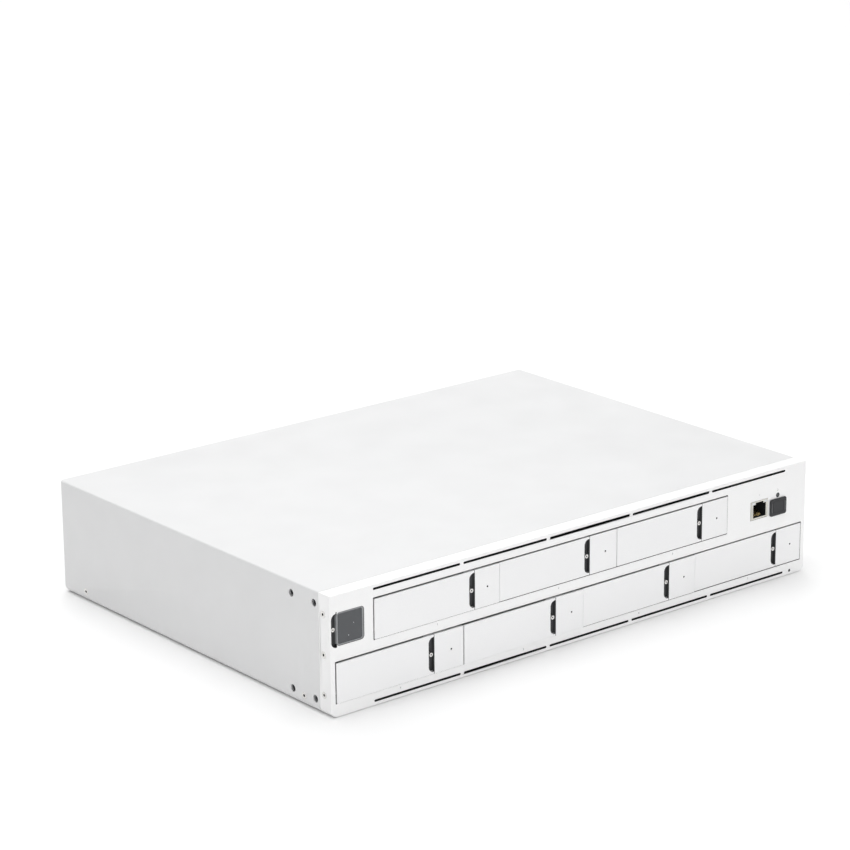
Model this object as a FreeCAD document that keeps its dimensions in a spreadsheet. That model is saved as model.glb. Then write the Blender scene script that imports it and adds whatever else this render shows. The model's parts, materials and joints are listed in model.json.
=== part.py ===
import FreeCAD, Part
import os
import re

# A two-unit-high rack storage enclosure with seven hot-swap drive trays.
# X runs to the right seen from the front, Y to the rear, Z up; the origin is the
# middle of the underside. Sizes are millimetres.

os.makedirs("parts", exist_ok=True)
doc = FreeCAD.newDocument("storage_enclosure")

# ---------------------------------------------------------------- driving sizes

sizes = {
    # overall depth, and the bay grid that sets the width and the height
    "caseDepth": 321.4, "bayPitch": 108.7, "openingHeight": 29.5, "rowBar": 7.6,
    "rowMargin": 9.3, "sideMargin": 3.8, "topRowInset": 32.3,
    # sheet metal
    "bezelDepth": 12.3, "bezelPlate": 2.0, "bezelWall": 1.5, "edgeBend": 5.0,
    "seam": 0.15, "coverWall": 1.2, "rearBend": 3.5, "topBend": 1.2, "coverLip": 12.0,
    "rearLip": 8.0, "panWall": 1.2, "panSetback": 4.5, "panTopGap": 3.5, "fitGap": 0.2,
    "rearWall": 1.2, "cageSheet": 1.0,
    # front vents
    "ventGap": 3.2, "ventHeight": 1.4, "ventEdge": 3.1, "ventStart": 36.1, "ventEnd": 21.7,
    # drive tray
    "trayGap": 0.8, "faceLift": 0.5, "faceDrop": 0.8, "faceThickness": 2.0, "fixedFace": 25.4,
    "trayMargin": 1.45, "trayWall": 1.5, "trayFloor": 1.0, "trayLength": 163.0,
    "trayWallHeight": 19.5, "wallPlace": 6.0, "wallThickness": 1.2, 
    "leverThickness": 1.4, "leverGap": 0.3, "pivotInset": 12.0, "pivotDepth": 2.6,
    "pinRadius": 0.6, "earRadius": 1.0, "knuckleRadius": 1.15, "runningGap": 0.05,
    "slotWidth": 4.6, "slotHorn": 1.7, "slotRadius": 4.0, "latchDepth": 3.2,
    "latchThickness": 1.6, "latchInset": 1.5, "latchTravel": 2.0, "lockRadius": 1.5,
    "lockDepth": 0.3, "ledFromRight": 10.7, "ledRadius": 0.6, "swingDepth": 13.0,
    "trayProudA": 1.0, "trayProudB": 0.4, "trayProudC": 0.3, "trayProudD": 1.2,
    "trayProudE": 1.5, "trayProudF": 0.8, "trayProudG": 0.1,
    "notchShiftA": 3.6, "rearVentRise": 6.5, "rearVentHeight": 2.6,
    # front display and its screw pocket
    "displayWidth": 22.8, "displayHeight": 22.9, "displayRadius": 2.5, "displayInset": 16.7,
    "screenWidth": 20.3, "screenHeight": 21.1, "screenRadius": 1.4,
    "pocketInset": 1.0, "pocketWidth": 4.5, "pocketHeight": 24.6, "pocketDepth": 3.0,
    # front ports
    "jackInset": 47.7, "jackRise": 11.5, "jackWidth": 17.2, "jackHeight": 13.75,
    "jackDepth": 21.0, "plugInset": 28.9, "plugRise": 9.8, "plugWidth": 16.6,
    "plugHeight": 13.0, "plugFlange": 1.2, "cageWidth": 14.9, "cageHeight": 9.9,
    "cageLength": 42.0, "pipeRadius": 1.4, "pipeRise": 18.6, "resetInset": 14.5,
    "resetLift": 0.25, "resetFlange": 0.5, "resetRadius": 0.75, "portBoardWidth": 61.0,
    "boardThickness": 1.6,
    # fasteners
    "screwRadius": 1.25, "bezelHeadRadius": 2.5, "caseHeadRadius": 2.75, "screwLength": 4.0,
    "bezelScrewPlace": 7.75, "bezelScrewEdge": 14.3, "coverScrewLevel": 7.3,
    "coverScrewPlace": 130.9, "earHoleRadius": 2.65, "earFirst": 17.4, "earStepDepth": 24.65,
    "earEdge": 8.85, "earNutRadius": 3.85, "earNutThickness": 2.3,
    # rear half
    "backplanePlace": 168.8, "fanSize": 60.0, "fanThickness": 25.0, "fanBore": 28.5,
    "fanHub": 15.0, "fanFirst": 46.0, "fanPitch": 70.0, "bladeChord": 14.0,
    "bladeThickness": 1.2, "bladeTip": 27.2, "supplyWidth": 81.5, "supplyHeight": 40.5,
    "supplyClearance": 14.6, "supplyInset": 11.7, "supplyLevel": 6.0, "boardLevel": 8.0,
    "boardClearance": 13.5, "boardRearGap": 5.0, "standoffRadius": 2.6,
}

sheet = doc.addObject("Spreadsheet::Sheet", "Sizes")
for row, (alias, value) in enumerate(sizes.items(), start=1):
    sheet.set(f"A{row}", alias)
    sheet.set(f"B{row}", str(value))
    sheet.setAlias(f"B{row}", alias)
doc.recompute()

# Sizes that follow from the driving ones.
derived = {
    "halfWidth": "2*bayPitch + sideMargin",
    "caseHeight": "2*openingHeight + rowBar + 2*rowMargin",
    "front": "-caseDepth/2",
    "rear": "caseDepth/2",
    "bezelBack": "front + bezelDepth",
    "panSide": "halfWidth - bezelWall - fitGap",
    "panLift": "bezelWall + fitGap",
    "panTop": "caseHeight - panTopGap",
    "troughSide": "halfWidth - coverLip - 1.5",
    "cageSide": "panSide - panWall - earNutThickness - fitGap",
    "cageFront": "front + bezelPlate + fitGap",
    "backplaneFront": "front + backplanePlace",
    "rearPanelBack": "rear - coverWall - fitGap",
    "rearPanelFront": "rearPanelBack - rearWall",
    "topRow": "rowMargin + openingHeight + rowBar",
    "midHeight": "caseHeight/2",
    "ventPitch": "(2*halfWidth - ventStart - ventEnd + ventGap)/5",
    "ventLength": "ventPitch - ventGap",
    "faceWidth": "bayPitch - trayGap",
    "faceHeight": "openingHeight - faceLift - faceDrop",
    "leverEnd": "faceWidth - fixedFace - leverGap",
    "slotLeft": "leverEnd - slotWidth",
    "slotHeight": "faceHeight - 2*slotHorn",
    "latchHeight": "faceHeight - 2*latchInset",
    "resetLevel": "bezelWall + resetRadius + resetFlange + resetLift",
    "rearVentLeft": "-halfWidth + fanFirst + 2*fanPitch + fanSize/2 + 14",
    "rearVentStep": "(supplyLeft - 12 - rearVentLeft)/3",
    "ledInset": "faceWidth - ledFromRight",
    "displayLevel": "topRow + openingHeight/2",
    "jackLevel": "topRow + jackRise",
    "plugLevel": "topRow + plugRise",
    "pipeLevel": "topRow + pipeRise",
    "bezelScrewStep": "midHeight - bezelScrewEdge",
    "earStepHeight": "caseHeight - 2*earEdge",
    "rearScrewStep": "midHeight - 18.6",
    "supplyDepth": "rear - backplaneFront - supplyClearance",
    "boardWidth": "supplyLeft - boardLeft - boardClearance",
    "boardLeft": "-troughSide + panWall + 3",
    "boardFront": "backplaneFront + 10",
    "boardDepth": "rearPanelFront - fanThickness - boardRearGap - boardFront",
    "supplyLeft": "halfWidth - supplyInset - supplyWidth",
}


def formula(text):
    """Spells a formula in the sheet's aliases, working derived sizes out first."""
    def swap(match):
        word = match.group(0)
        if word in derived:
            return "(" + formula(derived[word]) + ")"
        return "Sizes." + word if word in sizes else word
    return re.sub(r"[A-Za-z]+", swap, str(text))


def bind(item, **rules):
    for prop, text in rules.items():
        item.setExpression(prop.replace("_", "."), formula(text))
    return item


def place(item, x, y, z, rotation=None):
    if rotation:
        item.Placement = FreeCAD.Placement(FreeCAD.Vector(), rotation)
    return bind(item, Placement_Base_x=x, Placement_Base_y=y, Placement_Base_z=z)


# ------------------------------------------------------------------ shape makers

axisTurns = {
    "x": FreeCAD.Rotation(FreeCAD.Vector(0, 1, 0), 90),
    "y": FreeCAD.Rotation(FreeCAD.Vector(1, 0, 0), -90),
    "z": FreeCAD.Rotation(),
}
axisVectors = {"x": FreeCAD.Vector(1, 0, 0), "y": FreeCAD.Vector(0, 1, 0),
               "z": FreeCAD.Vector(0, 0, 1)}


def block(x0, x1, y0, y1, z0, z1):
    """A box between two corners, each given as a formula."""
    item = doc.addObject("Part::Box", "Block")
    bind(item, Length=f"({x1}) - ({x0})", Width=f"({y1}) - ({y0})", Height=f"({z1}) - ({z0})")
    return place(item, x0, y0, z0)


def centred(x, wide, y0, y1, z, tall):
    """A box centred at x and z, reaching from y0 to y1."""
    return block(f"{x} - ({wide})/2", f"{x} + ({wide})/2", y0, y1,
                 f"{z} - ({tall})/2", f"{z} + ({tall})/2")


def rod(axis, radius, start, length, x="0", y="0", z="0"):
    """A cylinder along an axis, from start on, its line through the other two places."""
    item = doc.addObject("Part::Cylinder", "Rod")
    bind(item, Radius=radius, Height=length)
    spot = {"x": x, "y": y, "z": z, axis: start}
    return place(item, spot["x"], spot["y"], spot["z"], axisTurns[axis])


def taper(axis, radius0, radius1, start, length, x="0", y="0", z="0", back=False):
    """A cone along an axis, or against it, as under a countersunk head."""
    item = doc.addObject("Part::Cone", "Taper")
    bind(item, Radius1=radius0, Radius2=radius1, Height=length)
    turn = axisTurns[axis]
    if back:
        turn = turn.multiply(FreeCAD.Rotation(FreeCAD.Vector(1, 0, 0), 180))
    spot = {"x": x, "y": y, "z": z, axis: start}
    return place(item, spot["x"], spot["y"], spot["z"], turn)


def hexagon(axis, radius, start, length, x="0", y="0", z="0"):
    item = doc.addObject("Part::Prism", "Hexagon")
    item.Polygon = 6
    bind(item, Circumradius=radius, Height=length)
    spot = {"x": x, "y": y, "z": z, axis: start}
    return place(item, spot["x"], spot["y"], spot["z"], axisTurns[axis])


def joined(*items):
    if len(items) == 1:
        return items[0]
    item = doc.addObject("Part::MultiFuse", "Joined")
    item.Shapes = list(items)
    return item


def grouped(*items):
    item = doc.addObject("Part::Compound", "Group")
    item.Links = list(items)
    return item


def cut(base, *tools):
    item = doc.addObject("Part::Cut", "Cut")
    item.Base = base
    item.Tool = joined(*tools)
    return item


def common(base, tool):
    item = doc.addObject("Part::Common", "Common")
    item.Base = base
    item.Tool = tool
    return item


def rounded(base, *rounds):
    """Fillets a box in a body of its own. Each round is an axis, the places its edges
    keep ("min" or "max" of x, y or z) and a radius."""
    body = doc.addObject("PartDesign::Body", "Body")
    for prop, rule in base.ExpressionEngine:
        if prop.startswith(".Placement"):
            base.setExpression(prop, None)
            body.setExpression(prop.lstrip("."), rule)
    base.Placement = FreeCAD.Placement()
    body.BaseFeature = base
    doc.recompute()
    for axis, ends, radius in rounds:
        tip = body.Tip
        box = tip.Shape.BoundBox
        limits = {side: (getattr(box, side.upper() + "Min"), getattr(box, side.upper() + "Max"))
                  for side in "xyz"}
        names = []
        for number, edge in enumerate(tip.Shape.Edges, start=1):
            if edge.Curve.TypeId != "Part::GeomLine":
                continue
            if abs(edge.Curve.Direction.dot(axisVectors[axis])) < 0.999:
                continue
            middle = edge.CenterOfMass
            if all(abs(getattr(middle, side) - limits[side][end == "max"]) < 0.01
                   for side, end in ends.items()):
                names.append(f"Edge{number}")
        fillet = body.newObject("PartDesign::Fillet", "Fillet")
        fillet.Base = (tip, names)
        bind(fillet, Radius=radius)
        doc.recompute()
    return body


def corners(base, radius, axis="y"):
    """Rounds the four long edges of a box that run along one axis."""
    return rounded(base, (axis, {}, radius))


def dShape(left, right, y0, y1, bottom, top, radius):
    """An upright D turned round: its left corners are round, its right edge is straight."""
    line = f"({left}) + {radius}"
    round0 = rod("y", radius, y0, f"({y1}) - ({y0})", x=line, z=f"({bottom}) + {radius}")
    round1 = rod("y", radius, y0, f"({y1}) - ({y0})", x=line, z=f"({top}) - {radius}")
    spine = block(left, right, y0, y1, f"({bottom}) + {radius}", f"({top}) - {radius}")
    flank = block(line, right, y0, y1, bottom, top)
    limit = block(left, right, y0, y1, bottom, top)
    return common(joined(round0, round1, spine, flank), limit)


def slot(x0, x1, y0, y1, z, height):
    """A level slot with round ends."""
    radius = f"({height})/2"
    ends = [rod("y", radius, y0, f"({y1}) - ({y0})", x=x, z=z)
            for x in (f"({x0}) + {radius}", f"({x1}) - {radius}")]
    return joined(block(f"({x0}) + {radius}", f"({x1}) - {radius}", y0, y1,
                        f"({z}) - {radius}", f"({z}) + {radius}"), *ends)


def keep(label, item):
    """Names a finished sub-part."""
    item.Label = label
    pieces[label] = item
    return item


pieces = {}


# --------------------------------------------------------------------- fasteners

def sideScrewTools(sign, level, place, head):
    """The countersunk hole of one screw through a side wall."""
    inward = sign == "+"
    out = f"{sign}halfWidth"
    cone = taper("x", head, "screwRadius", out, f"{head} - screwRadius", y=place, z=level,
                 back=inward)
    hole = rod("x", "screwRadius + runningGap", f"{out} - screwLength - 1" if inward else out,
               "screwLength + 1", y=place, z=level)
    return cone, hole


def sideScrew(sign, level, place, head):
    """A countersunk screw with a hexagon socket, flush with a side wall."""
    inward = sign == "+"
    out = f"{sign}halfWidth"
    cone = taper("x", head, "screwRadius", out, f"{head} - screwRadius", y=place, z=level,
                 back=inward)
    shank = rod("x", "screwRadius", f"{out} - screwLength" if inward else out, "screwLength",
                y=place, z=level)
    socket = hexagon("x", "screwRadius*0.8", f"{out} - 1" if inward else out, "1",
                     y=place, z=level)
    return cut(joined(cone, shank), socket)


bezelScrewSpots = [(f"midHeight + ({step})*bezelScrewStep", "front + bezelScrewPlace")
                   for step in (-1, 0, 1)]
coverScrewSpots = [("coverScrewLevel", f"{end}coverScrewPlace") for end in "-+"]
earSpots = [(f"midHeight + ({row})*earStepHeight", f"front + earFirst + {step}*earStepDepth")
            for row in ("-0.5", "0.5") for step in (0, 1)]
rearScrewSpots = [(f"{side}(halfWidth - rearLip*0.7)", level)
                  for side in "-+" for level in ("midHeight - rearScrewStep", "midHeight",
                                              "midHeight + rearScrewStep")]

keep("bezel_screws", grouped(*[sideScrew(sign, level, place, "bezelHeadRadius")
                               for sign in "-+" for level, place in bezelScrewSpots]))


def rearScrewTools(x, z):
    return (taper("y", "caseHeadRadius", "screwRadius", "rear", "caseHeadRadius - screwRadius",
                  x=x, z=z, back=True),
            rod("y", "screwRadius + runningGap", "rear - screwLength - 1", "screwLength + 1",
                x=x, z=z))


def rearScrew(x, z):
    cone = taper("y", "caseHeadRadius", "screwRadius", "rear", "caseHeadRadius - screwRadius",
                 x=x, z=z, back=True)
    shank = rod("y", "screwRadius", "rear - screwLength", "screwLength", x=x, z=z)
    return cut(joined(cone, shank), hexagon("y", "screwRadius*0.8", "rear - 1", "1", x=x, z=z))


keep("case_screws", grouped(*[sideScrew(sign, level, place, "caseHeadRadius")
                              for sign in "-+" for level, place in coverScrewSpots],
                            *[rearScrew(x, z) for x, z in rearScrewSpots]))

keep("rack_ear_nuts", grouped(*[
    cut(hexagon("x", "earNutRadius",
                "panSide - panWall - earNutThickness" if sign == "+" else "-panSide + panWall",
                "earNutThickness", y=place, z=level),
        rod("x", "earHoleRadius",
            "panSide - panWall - earNutThickness - 1" if sign == "+" else "-panSide + panWall - 1",
            "earNutThickness + 2", y=place, z=level))
    for sign in "-+" for level, place in earSpots]))


# ------------------------------------------------------------------ sheet casing

def earHoles():
    return [rod("x", "earHoleRadius", "-halfWidth - 1", "2*halfWidth + 2", y=place, z=level)
            for level, place in earSpots]


def outerCover():
    """A wrap of sheet: top and sides in one, curled under at the bottom and in at the rear."""
    start = "bezelBack + seam"
    outer = rounded(block("-halfWidth", "halfWidth", start, "rear", "0", "caseHeight"),
                    ("y", {"z": "min"}, "edgeBend"),
                    ("z", {"y": "max"}, "rearBend"),
                    ("y", {"z": "max"}, "topBend"))
    inner = rounded(block("-halfWidth + coverWall", "halfWidth - coverWall", f"{start} - 5",
                          "rear - coverWall", "coverWall", "caseHeight - coverWall"),
                    ("y", {"z": "min"}, "edgeBend - coverWall"),
                    ("z", {"y": "max"}, "rearBend - coverWall"))
    rearWindow = block("-halfWidth + rearLip", "halfWidth - rearLip", "rear - 10", "rear + 5",
                       "-5", "caseHeight - rearLip")
    bottomWindow = block("-halfWidth + coverLip", "halfWidth - coverLip", f"{start} - 5",
                         "rear + 5", "-5", "coverWall + 1")
    tools = [tool for sign in "-+" for level, place in coverScrewSpots
             for tool in sideScrewTools(sign, level, place, "caseHeadRadius")]
    tools += [tool for x, z in rearScrewSpots for tool in rearScrewTools(x, z)]
    return cut(outer, inner, rearWindow, bottomWindow, *tools, *earHoles())


keep("outer_cover", outerCover())


def basePan():
    """The chassis tub: tall side flanges, a step over the cover's lips and a sunken floor."""
    start = "front + panSetback"
    end = "rearPanelFront - fitGap"
    outer = rounded(block("-panSide", "panSide", start, end, "panLift", "panTop"),
                    ("y", {"z": "min"}, "edgeBend - bezelWall - fitGap"))
    inner = rounded(block("-panSide + panWall", "panSide - panWall", f"{start} - 5", f"{end} + 5",
                          "panLift + panWall", "panTop + 5"),
                    ("y", {"z": "min"}, "edgeBend - bezelWall - fitGap - panWall"))
    shell = cut(outer, inner,
                block("-halfWidth + 8", "halfWidth - 8", f"{start} - 5", "bezelBack + 1",
                      "0", "panLift + panWall + 1"),
                block("-troughSide", "troughSide", f"{start} - 5", f"{end} + 5",
                      "0", "panLift + panWall + 1"))
    trough = cut(block("-troughSide", "troughSide", "bezelBack + 1", end, "0",
                       "panLift + panWall"),
                 block("-troughSide + panWall", "troughSide - panWall", "bezelBack",
                       f"{end} + 1", "panWall", "panLift + panWall + 1"))
    tools = [sideScrewTools(sign, level, place, head)[1] for sign in "-+"
             for spots, head in ((bezelScrewSpots, "bezelHeadRadius"),
                                 (coverScrewSpots, "caseHeadRadius"))
             for level, place in spots]
    return cut(joined(shell, trough), *tools, *earHoles())


keep("base_pan", basePan())


def ringGuard(x):
    """What is cut for one fan: a round hole less a hub, a ring and four bars."""
    start, length = "rearPanelFront - 2", "rearWall + 4"
    hole = rod("y", "fanBore - 0.5", start, length, x=x, z="midHeight")
    ring = cut(rod("y", "20.4", start, length, x=x, z="midHeight"),
               rod("y", "18", start, length, x=x, z="midHeight"))
    bars = [centred(x, "2.4", start, f"{start} + {length}", "midHeight", "2*fanBore"),
            centred(x, "2*fanBore", start, f"{start} + {length}", "midHeight", "2.4")]
    return cut(hole, rod("y", "9", start, length, x=x, z="midHeight"), ring, *bars)


fanPlaces = [f"-halfWidth + fanFirst + {step}*fanPitch" for step in range(3)]


def rearPanel():
    side = "halfWidth - rearBend - 0.1"
    plate = block(f"-({side})", side, "rearPanelFront", "rearPanelBack",
                  "panLift + panWall + fitGap", "caseHeight - coverWall - fitGap")
    supply = block("supplyLeft - 0.4", "supplyLeft + supplyWidth + 0.4", "rearPanelFront - 5",
                   "rearPanelBack + 5", "supplyLevel - 0.4", "supplyLevel + supplyHeight + 0.4")
    vents = [slot(f"rearVentLeft + {column}*rearVentStep",
                  f"rearVentLeft + {column + 0.86}*rearVentStep",
                  "rearPanelFront - 5", "rearPanelBack + 5", f"midHeight + ({row})*rearVentRise",
                  "rearVentHeight") for column in range(3) for row in range(-3, 4)]
    return cut(plate, supply, *vents, *[ringGuard(x) for x in fanPlaces],
               *[tool for x, z in rearScrewSpots for tool in rearScrewTools(x, z)])


keep("rear_panel", rearPanel())


# ------------------------------------------------------------------ front bezel

displayX = "(-halfWidth + displayInset)"
jackX = "(halfWidth - jackInset)"
plugX = "(halfWidth - plugInset)"
resetX = "(halfWidth - resetInset)"
pocketLeft = "(-halfWidth + pocketInset)"
pocketBottom = "(displayLevel - pocketHeight/2)"
pocketTop = "(displayLevel + pocketHeight/2)"
topRowLeft = "(-2*bayPitch + topRowInset)"


def frontBezel():
    """A five-sided cap: front plate, and returns along the top, the bottom and both sides."""
    outer = rounded(block("-halfWidth", "halfWidth", "front", "bezelBack", "0", "caseHeight"),
                    ("y", {"z": "min"}, "edgeBend"))
    inner = rounded(block("-halfWidth + bezelWall", "halfWidth - bezelWall", "front + bezelPlate",
                          "bezelBack + 5", "bezelWall", "caseHeight - bezelWall"),
                    ("y", {"z": "min"}, "edgeBend - bezelWall"))
    lower = block("-2*bayPitch", "2*bayPitch", "front - 5", "front + bezelPlate + 1",
                  "rowMargin", "rowMargin + openingHeight")
    upper = block(topRowLeft, f"{topRowLeft} + 3*bayPitch", "front - 5", "front + bezelPlate + 1",
                  "topRow", "topRow + openingHeight")
    vents = [slot(f"-halfWidth + ventStart + {step}*ventPitch",
                  f"-halfWidth + ventStart + {step}*ventPitch + ventLength",
                  "front - 1", "front + bezelPlate + 1", level, "ventHeight")
             for step in range(5) for level in ("ventEdge", "caseHeight - ventEdge")]
    display = corners(centred(displayX, "displayWidth + 0.2", "front - 1", "front + bezelPlate + 1",
                              "displayLevel", "displayHeight + 0.2"), "displayRadius + 0.1")
    pocket = dShape(pocketLeft, f"{pocketLeft} + pocketWidth", "front - 1", "front + pocketDepth",
                    pocketBottom, pocketTop, "pocketWidth - 0.6")
    jack = centred(jackX, "jackWidth + 0.3", "front - 1", "front + bezelPlate + 1",
                   "jackLevel", "jackHeight + 0.3")
    plug = centred(plugX, "cageWidth + 0.3", "front - 1", "front + bezelPlate + 1",
                   "plugLevel", "cageHeight + 0.3")
    holes = [rod("y", "pipeRadius + runningGap", "front - 1", "bezelPlate + 2", x=plugX,
                 z="pipeLevel"),
             rod("y", "resetRadius + 0.2", "front - 1", "bezelPlate + 2", x=resetX,
                 z="resetLevel")]
    tools = [tool for sign in "-+" for level, place in bezelScrewSpots
             for tool in sideScrewTools(sign, level, place, "bezelHeadRadius")]
    return cut(outer, inner, lower, upper, *vents, display, pocket, jack, plug, *holes, *tools)


keep("front_bezel", frontBezel())

keep("display_housing", cut(
    corners(centred(displayX, "displayWidth", "front + 0.3", "front + 6", "displayLevel",
                    "displayHeight"), "displayRadius"),
    corners(centred(displayX, "screenWidth", "front - 1", "front + 1.8", "displayLevel",
                    "screenHeight"), "screenRadius")))
keep("display_screen", corners(
    centred(displayX, "screenWidth - 0.1", "front + 0.5", "front + 1.8", "displayLevel",
            "screenHeight - 0.1"), "screenRadius"))
pocketMiddle = f"{pocketLeft} + pocketWidth/2"
keep("display_slot_insert", cut(
    dShape(f"{pocketLeft} + fitGap", f"{pocketLeft} + pocketWidth - fitGap",
           "front + pocketDepth - 1", "front + pocketDepth", f"{pocketBottom} + fitGap",
           f"{pocketTop} - fitGap", "pocketWidth - 0.8"),
    rod("y", "0.8", "front", "5", x=pocketMiddle, z="displayLevel")))
keep("display_screw", cut(
    joined(rod("y", "lockRadius", "front + 1.2", "pocketDepth - 2.2", x=pocketMiddle,
               z="displayLevel"),
           rod("y", "0.75", "front + 1.2", "pocketDepth - 1.2", x=pocketMiddle,
               z="displayLevel")),
    hexagon("y", "0.55", "front + 1", "1", x=pocketMiddle, z="displayLevel")))


# ------------------------------------------------------------------ front ports

def networkJack():
    """A shielded eight-way socket with its latch notch at the top."""
    body = centred(jackX, "jackWidth", "front - 0.25", "front + jackDepth", "jackLevel",
                   "jackHeight")
    mouth = centred(jackX, "jackWidth - 4.5", "front - 1", "front + 14", "jackLevel - 0.55",
                    "jackHeight - 3.85")
    notch = centred(jackX, "7.5", "front - 1", "front + 9", "jackLevel + jackHeight/2 - 2.8",
                    "3.6")
    return cut(body, mouth, notch)


keep("network_jack", networkJack())
keep("sfp_cage", cut(
    centred(plugX, "cageWidth", "front + 0.1", "front + cageLength", "plugLevel", "cageHeight"),
    centred(plugX, "cageWidth - 1", "front - 1", "front + cageLength - 1", "plugLevel",
            "cageHeight - 1")))
keep("sfp_plug", joined(
    corners(centred(plugX, "plugWidth", "front - 0.1 - plugFlange", "front - 0.1", "plugLevel",
                    "plugHeight"), "1.6"),
    centred(plugX, "cageWidth - 1.6", "front - 0.3", "front + 18", "plugLevel",
            "cageHeight - 1.6")))
keep("light_pipes", grouped(
    rod("y", "pipeRadius", "front + 0.1", "9", x=plugX, z="pipeLevel")))
keep("reset_button", joined(
    rod("y", "resetRadius", "front + 0.7", "5", x=resetX, z="resetLevel"),
    rod("y", "resetRadius + resetFlange", "front + bezelPlate + 0.1", "0.8", x=resetX,
        z="resetLevel")))

portBoardBottom = "(jackLevel - jackHeight/2 - boardThickness)"
portBoardRight = "(halfWidth - 10)"
keep("port_board", block(f"{portBoardRight} - portBoardWidth", portBoardRight, "front + 8",
                         "front + 78", portBoardBottom, f"{portBoardBottom} + boardThickness"))


# -------------------------------------------------------- cage and electronics

def driveCage():
    """Two decks, a roof over the short row, and one upright between each pair of bays."""
    end = "backplaneFront - fitGap"
    lowerTop = "rowMargin - fitGap"
    upperTop = "topRow - fitGap"
    roof = "topRow + openingHeight + 0.6"
    decks = [block("-cageSide", "cageSide", "cageFront", end, f"{lowerTop} - cageSheet", lowerTop),
             block("-cageSide", "cageSide", "cageFront", end, f"{upperTop} - cageSheet", upperTop),
             block(f"{topRowLeft} - cageSheet/2", f"{topRowLeft} + 3*bayPitch + cageSheet/2",
                   "cageFront", end, roof, f"{roof} + cageSheet")]
    walls = [block(f"{x} - cageSheet/2", f"{x} + cageSheet/2", "front + swingDepth + 1", end,
                   low, high)
             for columns, left, low, high in
             ((range(1, 4), "-2*bayPitch", f"{lowerTop} - 0.1", f"{upperTop} - 0.1"),
              (range(4), topRowLeft, f"{upperTop} - 0.1", f"{roof} + 0.1"))
             for x in [f"{left} + {column}*bayPitch" for column in columns]]
    legs = [block(f"{x} - 6", f"{x} + 6", f"{y} - 6", f"{y} + 6", "panWall",
                  f"{lowerTop} - 0.1")
            for x in ("-(halfWidth - 30)", "-60", "60", "(halfWidth - 30)")
            for y in ("(front + 40)", "(front + 140)")]
    return joined(*decks, *walls, *legs)


keep("drive_cage", driveCage())

bays = [(f"{topRowLeft} + {column}*bayPitch", "topRow") for column in range(3)]
bays += [(f"-2*bayPitch + {column}*bayPitch", "rowMargin") for column in range(4)]


def backplaneBoard():
    plate = block("-cageSide", "cageSide", "backplaneFront", "backplaneFront + boardThickness",
                  "panLift + panWall + 2", "panTop - 2")
    windows = [block(f"{left} + 20", f"{left} + bayPitch - 20", "backplaneFront - 1",
                     "backplaneFront + 4", f"{bottom} + 16", f"{bottom} + 24")
               for left, bottom in bays]
    return cut(plate, *windows)


keep("backplane_board", backplaneBoard())


def driveConnector(left, bottom):
    """A data and power receptacle that meets the drive in one bay."""
    x = f"({left}) + bayPitch/2 - 14"
    body = centred(x, "42", "backplaneFront - 5.4", "backplaneFront", f"{bottom} + 6", "5")
    return cut(body, *[centred(f"{x} + ({shift})", wide, "backplaneFront - 6",
                               "backplaneFront - 1.5", f"{bottom} + 6", "1.6")
                       for shift, wide in (("-12", "11"), ("7", "21"))])


keep("drive_connectors", grouped(*[driveConnector(left, bottom) for left, bottom in bays]))

boardTop = "(boardLevel + boardThickness)"
keep("main_board", block("boardLeft", "boardLeft + boardWidth", "boardFront",
                         "boardFront + boardDepth", "boardLevel", boardTop))
standoffSpots = [(f"boardLeft + boardWidth*{along}", f"boardFront + boardDepth*{deep}")
                 for along in (0.03, 0.5, 0.97) for deep in (0.06, 0.94)]
portSpots = [(f"{portBoardRight} - portBoardWidth*{along}", f"front + {deep}")
             for along in (0.08, 0.92) for deep in (14, 72)]
keep("board_standoffs", grouped(
    *[hexagon("z", "standoffRadius", "panWall", "boardLevel - panWall", x=x, y=y)
      for x, y in standoffSpots],
    *[hexagon("z", "standoffRadius", "topRow - fitGap", f"{portBoardBottom} - topRow + fitGap",
              x=x, y=y) for x, y in portSpots]))

sinkX = f"(boardLeft + boardWidth*0.42)"
sinkY = f"(boardFront + boardDepth*0.45)"
keep("heat_sink", joined(
    block(f"{sinkX} - 30", f"{sinkX} + 30", f"{sinkY} - 28", f"{sinkY} + 28",
          f"{boardTop} + 3", f"{boardTop} + 6"),
    *[block(f"{sinkX} - 30 + {step}*4.2", f"{sinkX} - 28.8 + {step}*4.2", f"{sinkY} - 28",
            f"{sinkY} + 28", f"{boardTop} + 5.9", f"{boardTop} + 28") for step in range(15)]))


def boardComponents():
    """Processor, memory modules in their sockets, a power header and capacitors."""
    chip = block(f"{sinkX} - 16", f"{sinkX} + 16", f"{sinkY} - 16", f"{sinkY} + 16",
                 boardTop, f"{boardTop} + 3")
    memory = []
    for step in range(2):
        x = f"(boardLeft + boardWidth*0.64 + {step}*12)"
        socket = block(f"{x} - 3.2", f"{x} + 3.2", f"boardFront + 12", f"boardFront + 86",
                       boardTop, f"{boardTop} + 8")
        module = block(f"{x} - 0.7", f"{x} + 0.7", f"boardFront + 15", f"boardFront + 83",
                       f"{boardTop} + 7", f"{boardTop} + 32")
        memory.append(joined(socket, module))
    header = block(f"boardLeft + boardWidth - 24", f"boardLeft + boardWidth - 14",
                   f"boardFront + 20", f"boardFront + 70", boardTop, f"{boardTop} + 11")
    cans = [rod("z", "3.6", boardTop, "10", x=f"boardLeft + {14 + 11 * step}",
                y=f"boardFront + 16") for step in range(6)]
    return grouped(chip, *memory, header, *cans)


keep("board_components", boardComponents())


# --------------------------------------------------------------------- fans

fanFront = "(rearPanelFront - fanThickness)"


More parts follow.
